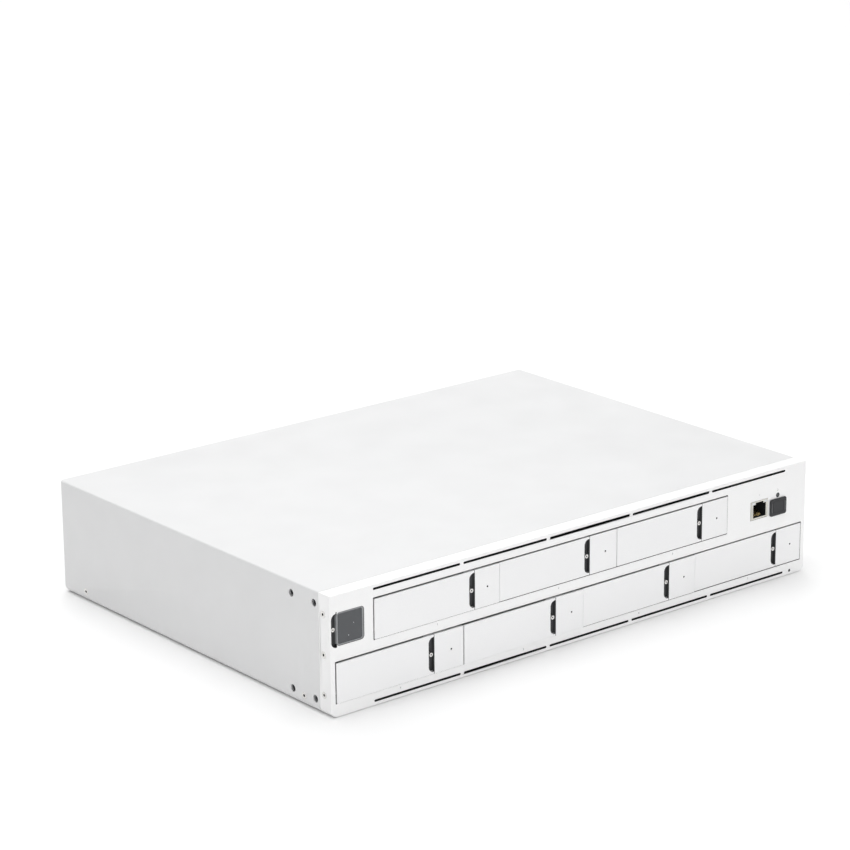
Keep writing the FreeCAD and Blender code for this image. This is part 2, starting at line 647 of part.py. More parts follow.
def fanFrame(x):
    """A square duct with a motor cup on three struts at its rear."""
    shell = cut(corners(centred(x, "fanSize", fanFront, "rearPanelFront", "midHeight", "fanSize"),
                        "4"),
                rod("y", "fanBore", f"{fanFront} - 1", "fanThickness + 2", x=x, z="midHeight"),
                *[rod("y", "2.1", f"{fanFront} - 1", "fanThickness + 2",
                      x=f"{x} + ({a})*25", z=f"midHeight + ({b})*25")
                  for a in (-1, 1) for b in (-1, 1)])
    cup = rod("y", "fanHub", "rearPanelFront - 3.4", "3", x=x, z="midHeight")
    struts = [block(f"{x} - 1.6", f"{x} + 1.6", "rearPanelFront - 3.4", "rearPanelFront - 0.4",
                    "midHeight", "midHeight + fanBore + 0.5"),
              block(f"{x} - fanBore - 0.5", x, "rearPanelFront - 3.4", "rearPanelFront - 0.4",
                    "midHeight - 9", "midHeight - 5.8"),
              block(x, f"{x} + fanBore + 0.5", "rearPanelFront - 3.4", "rearPanelFront - 0.4",
                    "midHeight - 9", "midHeight - 5.8")]
    axle = rod("y", "1.5", "rearPanelFront - 12", "9", x=x, z="midHeight")
    return joined(shell, cup, *struts, axle)


def fanRotor(x):
    """A hub with seven blades set at an angle to the axis."""
    hub = cut(rod("y", "fanHub", f"{fanFront} + 2", "fanThickness - 6", x=x, z="midHeight"),
              rod("y", "1.5 + runningGap", "rearPanelFront - 13", "20", x=x, z="midHeight"))
    blades = []
    bladeCount, bladePitch = 7, 36
    for step in range(bladeCount):
        turn = FreeCAD.Rotation(FreeCAD.Vector(0, 1, 0), 360 * step / bladeCount)
        turn = turn.multiply(FreeCAD.Rotation(FreeCAD.Vector(1, 0, 0), bladePitch))
        side, chord, thick = [turn.multVec(vector) for vector in axisVectors.values()]
        blade = doc.addObject("Part::Box", "Blade")
        bind(blade, Length="bladeTip - fanHub + 1", Width="bladeChord", Height="bladeThickness")
        spots = [f"({side[k]:.6f})*(fanHub - 1) - ({chord[k]:.6f})*bladeChord/2"
                 f" - ({thick[k]:.6f})*bladeThickness/2" for k in range(3)]
        blades.append(place(blade, f"{x} + {spots[0]}", f"{fanFront} + 10.5 + {spots[1]}",
                            f"midHeight + {spots[2]}", turn))
    return joined(hub, *blades)


keep("fan_frames", grouped(*[fanFrame(x) for x in fanPlaces]))
for number, x in enumerate(fanPlaces, start=1):
    keep(f"fan_rotor_{number}", fanRotor(x))


# ------------------------------------------------------------- power supply

supplyFront = "(rear - supplyDepth)"
supplyRight = "(supplyLeft + supplyWidth)"
supplyTop = "(supplyLevel + supplyHeight)"
inletX = "(supplyLeft + 18)"
inletZ = "(supplyLevel + supplyHeight/2)"
handleX = "(supplyLeft + 55)"
handleZ = "(supplyLevel + 6)"
latchX = f"({supplyRight} - 5)"


def powerSupply():
    """A slide-in unit: a sheet box with a rear face that carries its inlet and handle."""
    shell = cut(block("supplyLeft", supplyRight, supplyFront, "rear", "supplyLevel", supplyTop),
                block("supplyLeft + 1", f"{supplyRight} - 1", f"{supplyFront} + 1", "rear - 1.5",
                      "supplyLevel + 1", f"{supplyTop} - 1"))
    inlet = centred(inletX, "27.4", "rear - 3", "rear + 1", inletZ, "19.8")
    vents = [slot(f"{handleX} - 14", f"{handleX} + 14", "rear - 3", "rear + 1",
                  f"supplyLevel + 14 + {step}*5.2", "2.2") for step in range(5)]
    latch = centred(latchX, "4.4", "rear - 3", "rear + 1", inletZ, "16")
    ears = [cut(block(f"{handleX} + ({side})*16.4 - 1", f"{handleX} + ({side})*16.4 + 1",
                      "rear - 0.1", "rear + 4", f"{handleZ} - 2", f"{handleZ} + 2"),
                rod("x", "1 + runningGap", f"{handleX} + ({side})*16.4 - 5", "10", y="rear + 2",
                    z=handleZ)) for side in (-1, 1)]
    return joined(cut(shell, inlet, *vents, latch), *ears)


keep("power_supply", powerSupply())
keep("mains_inlet", joined(
    cut(centred(inletX, "27", "rear - 16", "rear + 0.8", inletZ, "19.4"),
        corners(centred(inletX, "23", "rear - 13", "rear + 2", inletZ, "15.6"), "2.4")),
    *[centred(f"{inletX} + ({x})", "2", "rear - 13.5", "rear - 3", f"{inletZ} + ({z})", "4")
      for x, z in ((-7, -1.4), (0, 2), (7, -1.4))]))


def supplyHandle():
    """A folding bail that lies against the rear face and swings out on two pins."""
    legs = [block(f"{handleX} + ({side})*14 - 1", f"{handleX} + ({side})*14 + 1", "rear + 1",
                  "rear + 3", f"{handleZ} - 1", f"{handleZ} + 27") for side in (-1, 1)]
    bar = block(f"{handleX} - 15", f"{handleX} + 15", "rear + 1", "rear + 3", f"{handleZ} + 25",
                f"{handleZ} + 28")
    pins = [rod("x", "1", f"{handleX} + ({side})*16 - 2.2", "4.4", y="rear + 2", z=handleZ)
            for side in (-1, 1)]
    return joined(*legs, bar, *pins)


keep("power_supply_handle", supplyHandle())
keep("power_supply_latch", joined(
    centred(latchX, "4", "rear - 4", "rear + 2.5", inletZ, "7"),
    centred(latchX, "6", "rear - 4", "rear - 1.8", inletZ, "9")))


# ------------------------------------------------------------------- drive trays

def traySpots(left, proud, bottom):
    """Formulas for a tray's own corner: left edge, front plane and lower edge of its face."""
    return f"({left} + trayGap/2)", f"(front - {proud})", f"({bottom} + faceLift)"


def trayPiece(x, y, z, shift):
    """The carrier: floor, side rails, front wall, fixed face and the lever's hinge. The first
    tray's notch stands further right than the others', which is what shift carries."""
    def part(x0, x1, y0, y1, z0, z1):
        return block(f"{x} + {x0}", f"{x} + {x1}", f"{y} + {y0}", f"{y} + {y1}",
                     f"{z} + {z0}", f"{z} + {z1}")
    wide = "faceWidth - trayMargin"
    middle = f"({z} + faceHeight/2)"
    half = "faceHeight/2"
    floor = cut(part("trayMargin", wide, "wallPlace", "trayLength", "0.2", "0.2 + trayFloor"),
                *[rod("z", "1.6", f"{z} - 1", "5", x=f"{x} + faceWidth/2 + ({side})*47.6",
                      y=f"{y} + swingDepth + {deep}") for side in (-1, 1) for deep in (42, 86)])
    rails = [part("trayMargin", "trayMargin + trayWall", "wallPlace", "trayLength", "0.2",
                  "trayWallHeight"),
             part("faceWidth - trayMargin - trayWall", wide, "wallPlace", "trayLength", "0.2",
                  "trayWallHeight")]
    wall = part("trayMargin", wide, "wallPlace", "wallPlace + wallThickness", "0.2",
                "faceHeight - 0.4")
    swing = part("-1", "pivotInset + 4", "-1", "swingDepth", "-1", "faceHeight + 1")
    face = part(f"leverEnd + leverGap + {shift}", "faceWidth", "0", "faceThickness", "0",
                "faceHeight")
    backing = part(f"slotLeft + 14.4 + {shift}", wide, "faceThickness - 0.1", "wallPlace + 0.1",
                   f"{half} - 11", f"{half} + 11")
    guides = [part(f"slotLeft - 2 + {shift}", f"slotLeft + 14 + {shift}", "latchDepth + 0.2",
                   "wallPlace + 0.1", low, high)
              for low, high in ((f"{half} - latchHeight/2 - 1.2", f"{half} - latchHeight/2 - 0.2"),
                                (f"{half} + latchHeight/2 + 0.2", f"{half} + latchHeight/2 + 1.2"))]
    ears = []
    for low in ("0.9", "faceHeight - 2.5"):
        ears += [rod("z", "earRadius", f"{z} + {low}", "1.6", x=f"{x} + pivotInset",
                     y=f"{y} + pivotDepth"),
                 part("pivotInset", "pivotInset + 6", "pivotDepth - earRadius",
                      "pivotDepth + earRadius", low, f"{low} + 1.6"),
                 part("pivotInset + 4", "pivotInset + 6", "pivotDepth", "wallPlace + 0.1", low,
                      f"{low} + 1.6")]
    pin = rod("z", "pinRadius", f"{z} + 1", "faceHeight - 2", x=f"{x} + pivotInset",
              y=f"{y} + pivotDepth")
    slotMiddle = f"{x} + (slotLeft + leverEnd)/2 + {shift}"
    lockHole = rod("y", "lockRadius*0.667 + runningGap", f"{y} + wallPlace - 1", "4",
                   x=slotMiddle, z=middle)
    ledHole = rod("y", "ledRadius", f"{y} - 1", "wallPlace + 4", x=f"{x} + ledInset", z=middle)
    return joined(cut(joined(floor, *rails, wall), swing, lockHole, ledHole),
                  cut(joined(face, backing, *guides), ledHole), *ears, pin)


def leverPiece(x, y, z, shift):
    """The long face: a plate with a round-ended notch at its free end and a hinge knuckle."""
    plate = rounded(block(x, f"{x} + leverEnd + {shift}", y, f"{y} + leverThickness", z,
                          f"{z} + faceHeight"), ("z", {"x": "min", "y": "min"}, "0.5"))
    middle = f"({z} + faceHeight/2)"
    notch = dShape(f"{x} + slotLeft + {shift}", f"{x} + leverEnd + 1 + {shift}", f"{y} - 1",
                   f"{y} + 4", f"{middle} - slotHeight/2", f"{middle} + slotHeight/2", "slotRadius")
    knuckle = rod("z", "knuckleRadius", f"{z} + 2.9", "faceHeight - 5.8",
                  x=f"{x} + pivotInset", y=f"{y} + pivotDepth")
    web = block(f"{x} + pivotInset - knuckleRadius", f"{x} + pivotInset + knuckleRadius",
                f"{y} + leverThickness - 0.1", f"{y} + pivotDepth", f"{z} + 2.9",
                f"{z} + faceHeight - 2.9")
    bore = rod("z", "pinRadius + runningGap", f"{z} - 1", "faceHeight + 2",
               x=f"{x} + pivotInset", y=f"{y} + pivotDepth")
    hook = block(f"{x} + slotLeft - 9.6 + {shift}", f"{x} + slotLeft - 5.6 + {shift}",
                 f"{y} + leverThickness - 0.1",
                 f"{y} + wallPlace - 1", f"{middle} - 4", f"{middle} + 4")
    ribs = [block(f"{x} + pivotInset + 8", f"{x} + slotLeft - 12 + {shift}",
                  f"{y} + leverThickness - 0.1", f"{y} + leverThickness + 1.6", f"{z} + {low}",
                  f"{z} + {low} + 1.2")
            for low in ("3", "faceHeight - 4.2")]
    return cut(joined(cut(plate, notch), knuckle, web, hook, *ribs), bore)


def latchPiece(x, y, z, shift):
    """The sprung slide behind the notch, with a nail rib above and below the lock."""
    middle = f"({z} + faceHeight/2)"
    lockX = f"({x} + (slotLeft + leverEnd)/2 + {shift})"
    front, back = f"{y} + latchDepth", f"{y} + latchDepth + latchThickness"
    plate = block(f"{x} + slotLeft - 3.1 + {shift}", f"{x} + slotLeft + 11 + {shift}", front, back,
                  f"{middle} - latchHeight/2", f"{middle} + latchHeight/2")
    window = block(f"{lockX} - lockRadius - latchTravel - 0.25", f"{lockX} + lockRadius + 0.25",
                   f"{front} - 5", f"{back} + 1", f"{middle} - lockRadius - 0.25",
                   f"{middle} + lockRadius + 0.25")
    ribs = [block(f"{lockX} - 0.6", f"{lockX} + 0.4", f"{front} - 1", f"{front} + 0.1",
                  f"{middle} + ({low})", f"{middle} + ({high})")
            for low, high in (("-latchHeight/2 + 1", "-4"), ("4", "latchHeight/2 - 1"))]
    return cut(joined(plate, *ribs), window)


def lockPiece(x, y, z, shift):
    """The keyed lock screw in the middle of the notch."""
    spot = {"x": f"{x} + (slotLeft + leverEnd)/2 + {shift}", "z": f"{z} + faceHeight/2"}
    head = rod("y", "lockRadius", f"{y} + lockDepth", "wallPlace - lockDepth - 0.1", **spot)
    shank = rod("y", "lockRadius*0.667", f"{y} + wallPlace - 0.2", "wallThickness + 1.2", **spot)
    return cut(joined(head, shank), hexagon("y", "0.55", f"{y} + lockDepth - 1", "2.2", **spot))


for number, (letter, (left, bottom)) in enumerate(zip("ABCDEFG", bays), start=1):
    corner = traySpots(left, f"trayProud{letter}", bottom)
    shift = "notchShiftA" if letter == "A" else "0"
    keep(f"tray_{number}", trayPiece(*corner, shift))
    keep(f"tray_{number}_lever", leverPiece(*corner, shift))
    keep(f"tray_{number}_latch", latchPiece(*corner, shift))
    keep(f"tray_{number}_lock", lockPiece(*corner, shift))


# ------------------------------------------------------------- check and write

doc.recompute()
for item in doc.Objects:
    if "Invalid" in item.State or "Error" in item.State:
        raise RuntimeError(f"{item.Name} ({item.Label}) did not recompute: {item.State}")
for label, item in pieces.items():
    if item.Shape.isNull() or not item.Shape.isValid() or not item.Shape.Solids:
        raise RuntimeError(f"{label} has no valid solid")
for label, item in pieces.items():
    item.Shape.exportStep(f"parts/{label}.step")
print(len(pieces), "sub-parts written")
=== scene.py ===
import json
import math
import bmesh
import bpy
import numpy as np
from mathutils import Matrix, Vector

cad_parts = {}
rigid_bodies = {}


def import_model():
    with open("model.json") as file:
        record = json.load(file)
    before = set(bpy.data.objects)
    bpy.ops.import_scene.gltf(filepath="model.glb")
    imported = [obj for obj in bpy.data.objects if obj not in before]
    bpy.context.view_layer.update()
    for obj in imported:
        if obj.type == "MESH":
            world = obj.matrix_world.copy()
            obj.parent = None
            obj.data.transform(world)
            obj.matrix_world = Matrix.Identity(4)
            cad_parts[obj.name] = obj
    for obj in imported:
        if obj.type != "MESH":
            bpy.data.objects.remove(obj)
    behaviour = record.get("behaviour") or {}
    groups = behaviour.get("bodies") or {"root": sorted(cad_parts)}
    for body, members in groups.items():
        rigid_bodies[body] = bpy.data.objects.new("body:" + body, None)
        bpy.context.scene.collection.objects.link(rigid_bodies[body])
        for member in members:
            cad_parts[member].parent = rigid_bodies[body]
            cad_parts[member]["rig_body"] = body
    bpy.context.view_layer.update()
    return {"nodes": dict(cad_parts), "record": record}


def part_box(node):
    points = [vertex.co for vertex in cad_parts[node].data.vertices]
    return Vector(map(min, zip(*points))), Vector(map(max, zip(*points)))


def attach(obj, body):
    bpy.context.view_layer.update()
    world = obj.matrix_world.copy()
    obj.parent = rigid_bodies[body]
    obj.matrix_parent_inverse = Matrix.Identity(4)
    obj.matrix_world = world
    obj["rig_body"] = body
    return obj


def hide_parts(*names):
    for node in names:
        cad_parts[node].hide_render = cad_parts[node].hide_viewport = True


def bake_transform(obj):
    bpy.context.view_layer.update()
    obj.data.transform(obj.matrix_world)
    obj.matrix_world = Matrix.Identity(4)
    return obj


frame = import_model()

mm = 0.001


print("stage: frame loaded")

# the camera, the floor and the lamps

view = {
    "turn": -39.1987, "rise": 17.154, "roll": -0.4843,      # degrees
    "place": (-1357.191 * mm, -1653.101 * mm, 780.058 * mm),
    "lens": 3078.09 / 850 * 36, "sensor": 36,
}


def setCamera():
    turn, rise, roll = (math.radians(view[key]) for key in ("turn", "rise", "roll"))
    back = Vector((math.sin(turn) * math.cos(rise), -math.cos(turn) * math.cos(rise),
                   math.sin(rise)))
    right = (-back).cross(Vector((0, 0, 1))).normalized()
    up = right.cross(-back)
    across = right * math.cos(roll) + up * math.sin(roll)
    above = up * math.cos(roll) - right * math.sin(roll)
    data = bpy.data.cameras.new("camera")
    data.lens, data.sensor_width = view["lens"], view["sensor"]
    data.clip_start, data.clip_end = 0.05, 30
    camera = bpy.data.objects.new("camera", data)
    camera.matrix_world = Matrix((across, above, back)).transposed().to_4x4()
    camera.location = view["place"]
    bpy.context.scene.collection.objects.link(camera)
    bpy.context.scene.camera = camera


studio = {
    "floor": 9.0, "floorColour": (0.95, 0.95, 0.95, 1), "sky": (1, 1, 1, 1), "skyPower": 0.38,
}
lamps = {       # place, what it is aimed at, size and watts
    "overhead": ((-0.2, 0.2, 2.2), (0, 0, 0), 2.4, 40),
    "fill": ((-1.4, -2.6, 0.9), (0, 0, 0), 1.8, 24),
    "rim": ((2.2, -1.2, 1.4), (0, 0, 0), 1.4, 5),
    "backdrop": ((1.9, 2.6, 2.2), (1.9, 2.6, 0), 2.6, 44),
}


def setStudio():
    size = studio["floor"]
    mesh = bpy.data.meshes.new("floor")
    mesh.from_pydata([(-size, -size, 0), (size, -size, 0), (size, size, 0), (-size, size, 0)], [],
                     [(0, 1, 2, 3)])
    floor = bpy.data.objects.new("floor", mesh)
    floor.location.z = -0.0004
    bpy.context.scene.collection.objects.link(floor)
    paper = bpy.data.materials.new("floorPaper")
    paper.use_nodes = True
    shader = paper.node_tree.nodes["Principled BSDF"]
    shader.inputs["Base Color"].default_value = studio["floorColour"]
    shader.inputs["Roughness"].default_value = 0.9
    shader.inputs["Specular IOR Level"].default_value = 0.1
    mesh.materials.append(paper)
    world = bpy.data.worlds.new("studio")
    world.use_nodes = True
    sky = world.node_tree.nodes["Background"]
    sky.inputs["Color"].default_value = studio["sky"]
    sky.inputs["Strength"].default_value = studio["skyPower"]
    bpy.context.scene.world = world
    for name, (place, target, side, power) in lamps.items():
        data = bpy.data.lights.new(name, "AREA")
        data.shape, data.size, data.energy = "SQUARE", side, power
        lamp = bpy.data.objects.new(name, data)
        lamp.location = place
        aim = Vector(target) - Vector(place)
        lamp.rotation_euler = aim.to_track_quat("-Z", "Y").to_euler()
        bpy.context.scene.collection.objects.link(lamp)
    bpy.context.scene.view_settings.view_transform = "Standard"


setCamera()
setStudio()
print("stage: camera and studio")

# shader groups that several finishes use


def newGroup(name, inputs, outputs):
    group = bpy.data.node_groups.new(name, "ShaderNodeTree")
    for label, value in inputs.items():
        socket = group.interface.new_socket(name=label, in_out="INPUT",
                                            socket_type="NodeSocketFloat")
        socket.default_value = value
    for label, kind in outputs.items():
        group.interface.new_socket(name=label, in_out="OUTPUT", socket_type=kind)
    return group, group.nodes.new("NodeGroupInput"), group.nodes.new("NodeGroupOutput")


def addNode(tree, kind, **values):
    node = tree.nodes.new(kind)
    for key, value in values.items():
        setattr(node, key, value)
    return node


def mathNode(tree, operation, *terms):
    node = addNode(tree, "ShaderNodeMath", operation=operation)
    for socket, term in zip(node.inputs, terms):
        if isinstance(term, (int, float)):
            socket.default_value = term
        else:
            tree.links.new(term, socket)
    return node.outputs[0]


def grainGroup():
    # even speckle at Scale, with a slower cloud at a fortieth of it
    group, entry, out = newGroup("grain", {"Scale": 900.0, "Sharpness": 0.5},
                                 {"Fine": "NodeSocketFloat", "Cloud": "NodeSocketFloat"})
    place = addNode(group, "ShaderNodeTexCoord")
    fine = addNode(group, "ShaderNodeTexNoise")
    fine.inputs["Detail"].default_value = 3
    cloud = addNode(group, "ShaderNodeTexNoise")
    cloud.inputs["Detail"].default_value = 4
    group.links.new(place.outputs["Object"], fine.inputs["Vector"])
    group.links.new(place.outputs["Object"], cloud.inputs["Vector"])
    group.links.new(entry.outputs["Scale"], fine.inputs["Scale"])
    group.links.new(entry.outputs["Sharpness"], fine.inputs["Roughness"])
    group.links.new(mathNode(group, "DIVIDE", entry.outputs["Scale"], 40.0), cloud.inputs["Scale"])
    group.links.new(fine.outputs["Fac"], out.inputs["Fine"])
    group.links.new(cloud.outputs["Fac"], out.inputs["Cloud"])
    return group


def brushGroup():
    # long thin scratches: noise stretched along X, Y or Z by a per-axis scale
    group, entry, out = newGroup("brush", {"Along X": 30.0, "Along Y": 30.0, "Along Z": 2500.0},
                                 {"Lines": "NodeSocketFloat"})
    place = addNode(group, "ShaderNodeTexCoord")
    split = addNode(group, "ShaderNodeSeparateXYZ")
    joinUp = addNode(group, "ShaderNodeCombineXYZ")
    group.links.new(place.outputs["Object"], split.inputs[0])
    for axis in range(3):
        group.links.new(mathNode(group, "MULTIPLY", split.outputs[axis], entry.outputs[axis]),
                        joinUp.inputs[axis])
    noise = addNode(group, "ShaderNodeTexNoise")
    noise.inputs["Scale"].default_value = 1
    noise.inputs["Detail"].default_value = 4
    group.links.new(joinUp.outputs[0], noise.inputs["Vector"])
    group.links.new(noise.outputs["Fac"], out.inputs["Lines"])
    return group


def speckGroup():
    # sparse dots: cells nearer than Size to their middle, kept where a random pick is under Share
    group, entry, out = newGroup("specks", {"Scale": 300.0, "Size": 0.1, "Share": 0.1},
                                 {"Mask": "NodeSocketFloat"})
    place = addNode(group, "ShaderNodeTexCoord")
    cells = addNode(group, "ShaderNodeTexVoronoi")
    group.links.new(place.outputs["Object"], cells.inputs["Vector"])
    group.links.new(entry.outputs["Scale"], cells.inputs["Scale"])
    near = mathNode(group, "LESS_THAN", cells.outputs["Distance"], entry.outputs["Size"])
    pick = addNode(group, "ShaderNodeSeparateColor")
    group.links.new(cells.outputs["Color"], pick.inputs[0])
    chosen = mathNode(group, "LESS_THAN", pick.outputs[0], entry.outputs["Share"])
    group.links.new(mathNode(group, "MULTIPLY", near, chosen), out.inputs["Mask"])
    return group


grain, brush, specks = grainGroup(), brushGroup(), speckGroup()

# the finishes


class Finish:
    # one material: its tree, its Principled shader and short ways to wire them

    def __init__(self, name, colour, metallic=0.0, roughness=0.5, **sockets):
        self.material = bpy.data.materials.new(name)
        self.material.use_nodes = True
        self.tree = self.material.node_tree
        self.shader = self.tree.nodes["Principled BSDF"]
        self.colour = (*colour, 1.0)
        self.set("Base Color", self.colour)
        self.set("Metallic", metallic)
        self.set("Roughness", roughness)
        for key, value in sockets.items():
            self.set(key.replace("_", " "), value)

    def set(self, socket, value):
        self.shader.inputs[socket].default_value = value

    def group(self, group, **values):
        node = addNode(self.tree, "ShaderNodeGroup", node_tree=group)
        for key, value in values.items():
            node.inputs[key.replace("_", " ")].default_value = value
        return node

    def range(self, source, low, high, fromLow=0.3, fromHigh=0.7):
        node = addNode(self.tree, "ShaderNodeMapRange")
        for key, value in (("From Min", fromLow), ("From Max", fromHigh), ("To Min", low),
                           ("To Max", high)):
            node.inputs[key].default_value = value
        self.tree.links.new(source, node.inputs["Value"])
        return node.outputs["Result"]

    def tint(self, source, first, second):
        node = addNode(self.tree, "ShaderNodeMix", data_type="RGBA")
        node.inputs[6].default_value = (*first, 1.0)
        node.inputs[7].default_value = (*second, 1.0)
        self.tree.links.new(source, node.inputs[0])
        self.tree.links.new(node.outputs[2], self.shader.inputs["Base Color"])
        return node.outputs[2]

    def over(self, below, mask, colour):
        node = addNode(self.tree, "ShaderNodeMix", data_type="RGBA")
        self.tree.links.new(mask, node.inputs[0])
        self.tree.links.new(below, node.inputs[6])
        node.inputs[7].default_value = (*colour, 1.0)
        self.tree.links.new(node.outputs[2], self.shader.inputs["Base Color"])
        return node.outputs[2]

    def feed(self, source, socket):
        self.tree.links.new(source, self.shader.inputs[socket])

    def bump(self, source, depth, strength=1.0):
        node = addNode(self.tree, "ShaderNodeBump")
        node.inputs["Strength"].default_value = strength
        node.inputs["Distance"].default_value = depth
        self.tree.links.new(source, node.inputs["Height"])
        self.tree.links.new(node.outputs["Normal"], self.shader.inputs["Normal"])


def shade(colour, factor):
    return tuple(min(part * factor, 1.0) for part in colour)


def coatedSheet(name, colour, roughness, peel, depth):
    # powder coat: soft orange peel, a faint cloud in the colour and a few grey specks
    finish = Finish(name, colour, roughness=roughness, Specular_IOR_Level=0.45)
    pattern = finish.group(grain, Scale=peel, Sharpness=0.55)
    body = finish.tint(finish.range(pattern.outputs["Cloud"], 0, 1), shade(colour, 0.965), colour)
    dots = finish.group(specks, Scale=140, Size=0.045, Share=0.05)
    finish.over(body, finish.range(dots.outputs["Mask"], 0, 0.22, 0, 1), (0.55, 0.54, 0.52))
    finish.feed(finish.range(pattern.outputs["Cloud"], roughness - 0.05, roughness + 0.07),
                "Roughness")
    finish.bump(pattern.outputs["Fine"], depth, 0.5)
    return finish.material


def blastedAluminium(name, colour, metallic, roughness):
    # bead-blasted and anodised: very fine even grain, a little smoother in broad patches
    finish = Finish(name, colour, metallic=metallic, roughness=roughness)
    pattern = finish.group(grain, Scale=2600, Sharpness=0.6)
    finish.tint(finish.range(pattern.outputs["Fine"], 0, 1), shade(colour, 0.955), colour)
    finish.feed(finish.range(pattern.outputs["Cloud"], roughness - 0.04, roughness + 0.06),
                "Roughness")
    finish.bump(pattern.outputs["Fine"], 0.00002, 0.35)
    return finish.material


def brushedMetal(name, colour, roughness, scales, depth=0.00002):
    # long brush lines in roughness, tone and height
    finish = Finish(name, colour, metallic=1.0, roughness=roughness)
    lines = finish.group(brush, Along_X=scales[0], Along_Y=scales[1], Along_Z=scales[2])
    finish.tint(finish.range(lines.outputs["Lines"], 0, 1), shade(colour, 0.82), colour)
    finish.feed(finish.range(lines.outputs["Lines"], roughness - 0.08, roughness + 0.12),
                "Roughness")
    finish.bump(lines.outputs["Lines"], depth, 0.4)
    return finish.material


def zincSheet():
    # galvanised sheet: crystal patches of slightly different tone under a fine grain
    finish = Finish("zincSheet", (0.6, 0.62, 0.63), metallic=0.9, roughness=0.4)
    place = addNode(finish.tree, "ShaderNodeTexCoord")
    crystals = addNode(finish.tree, "ShaderNodeTexVoronoi")
    crystals.inputs["Scale"].default_value = 160
    finish.tree.links.new(place.outputs["Object"], crystals.inputs["Vector"])
    tone = addNode(finish.tree, "ShaderNodeSeparateColor")
    finish.tree.links.new(crystals.outputs["Color"], tone.inputs[0])
    finish.tint(tone.outputs[0], (0.59, 0.6, 0.61), (0.68, 0.69, 0.7))
    finish.feed(finish.range(tone.outputs[1], 0.3, 0.5, 0, 1), "Roughness")
    pattern = finish.group(grain, Scale=1500, Sharpness=0.5)
    finish.bump(pattern.outputs["Fine"], 0.00002, 0.3)
    return finish.material


def mouldedPlastic(name, colour, roughness, texture=1400, depth=0.00004):
    finish = Finish(name, colour, roughness=roughness, Specular_IOR_Level=0.4)
    pattern = finish.group(grain, Scale=texture, Sharpness=0.6)
    finish.tint(finish.range(pattern.outputs["Cloud"], 0, 1), shade(colour, 0.8),
                shade(colour, 1.15))
    finish.feed(finish.range(pattern.outputs["Fine"], roughness - 0.08, roughness + 0.08),
                "Roughness")
    finish.bump(pattern.outputs["Fine"], depth, 0.5)
    return finish.material


def circuitBoard():
    # solder mask with copper runs showing through as lighter lines, and tinned pads
    green, run = (0.012, 0.09, 0.05), (0.03, 0.17, 0.09)
    finish = Finish("circuitBoard", green, roughness=0.3, Coat_Weight=0.4, Coat_Roughness=0.15)
    place = addNode(finish.tree, "ShaderNodeTexCoord")
    runs = addNode(finish.tree, "ShaderNodeTexBrick")
    runs.inputs["Scale"].default_value = 130
    runs.inputs["Mortar Size"].default_value = 0.035
    runs.inputs["Color1"].default_value = (0, 0, 0, 1)
    runs.inputs["Color2"].default_value = (0, 0, 0, 1)
    runs.inputs["Mortar"].default_value = (1, 1, 1, 1)
    finish.tree.links.new(place.outputs["Object"], runs.inputs["Vector"])
    pads = finish.group(specks, Scale=420, Size=0.22, Share=0.12)
    body = finish.tint(runs.outputs["Color"], green, run)
    finish.over(body, pads.outputs["Mask"], (0.6, 0.58, 0.5))
    finish.bump(runs.outputs["Color"], 0.00003, 0.6)
    return finish.material


def smokedGlass():
    finish = Finish("smokedGlass", (0.05, 0.054, 0.06), roughness=0.2, Coat_Weight=0.35,
                    Coat_Roughness=0.08)
    pattern = finish.group(grain, Scale=500, Sharpness=0.5)
    finish.tint(finish.range(pattern.outputs["Cloud"], 0, 1), (0.044, 0.048, 0.054),
                (0.057, 0.061, 0.067))
    finish.feed(finish.range(pattern.outputs["Cloud"], 0.13, 0.24), "Roughness")
    return finish.material


def clearPipe():
    finish = Finish("clearPipe", (0.12, 0.125, 0.13), roughness=0.2, Transmission_Weight=0.4)
    pattern = finish.group(grain, Scale=1800, Sharpness=0.5)
    finish.bump(pattern.outputs["Fine"], 0.00002, 0.3)
    return finish.material


def markInk():
    finish = Finish("markInk", (0.16, 0.165, 0.17), roughness=0.7)
    pattern = finish.group(grain, Scale=4000, Sharpness=0.7)
    finish.tint(finish.range(pattern.outputs["Fine"], 0, 1), (0.12, 0.125, 0.13),
                (0.24, 0.245, 0.25))
    return finish.material


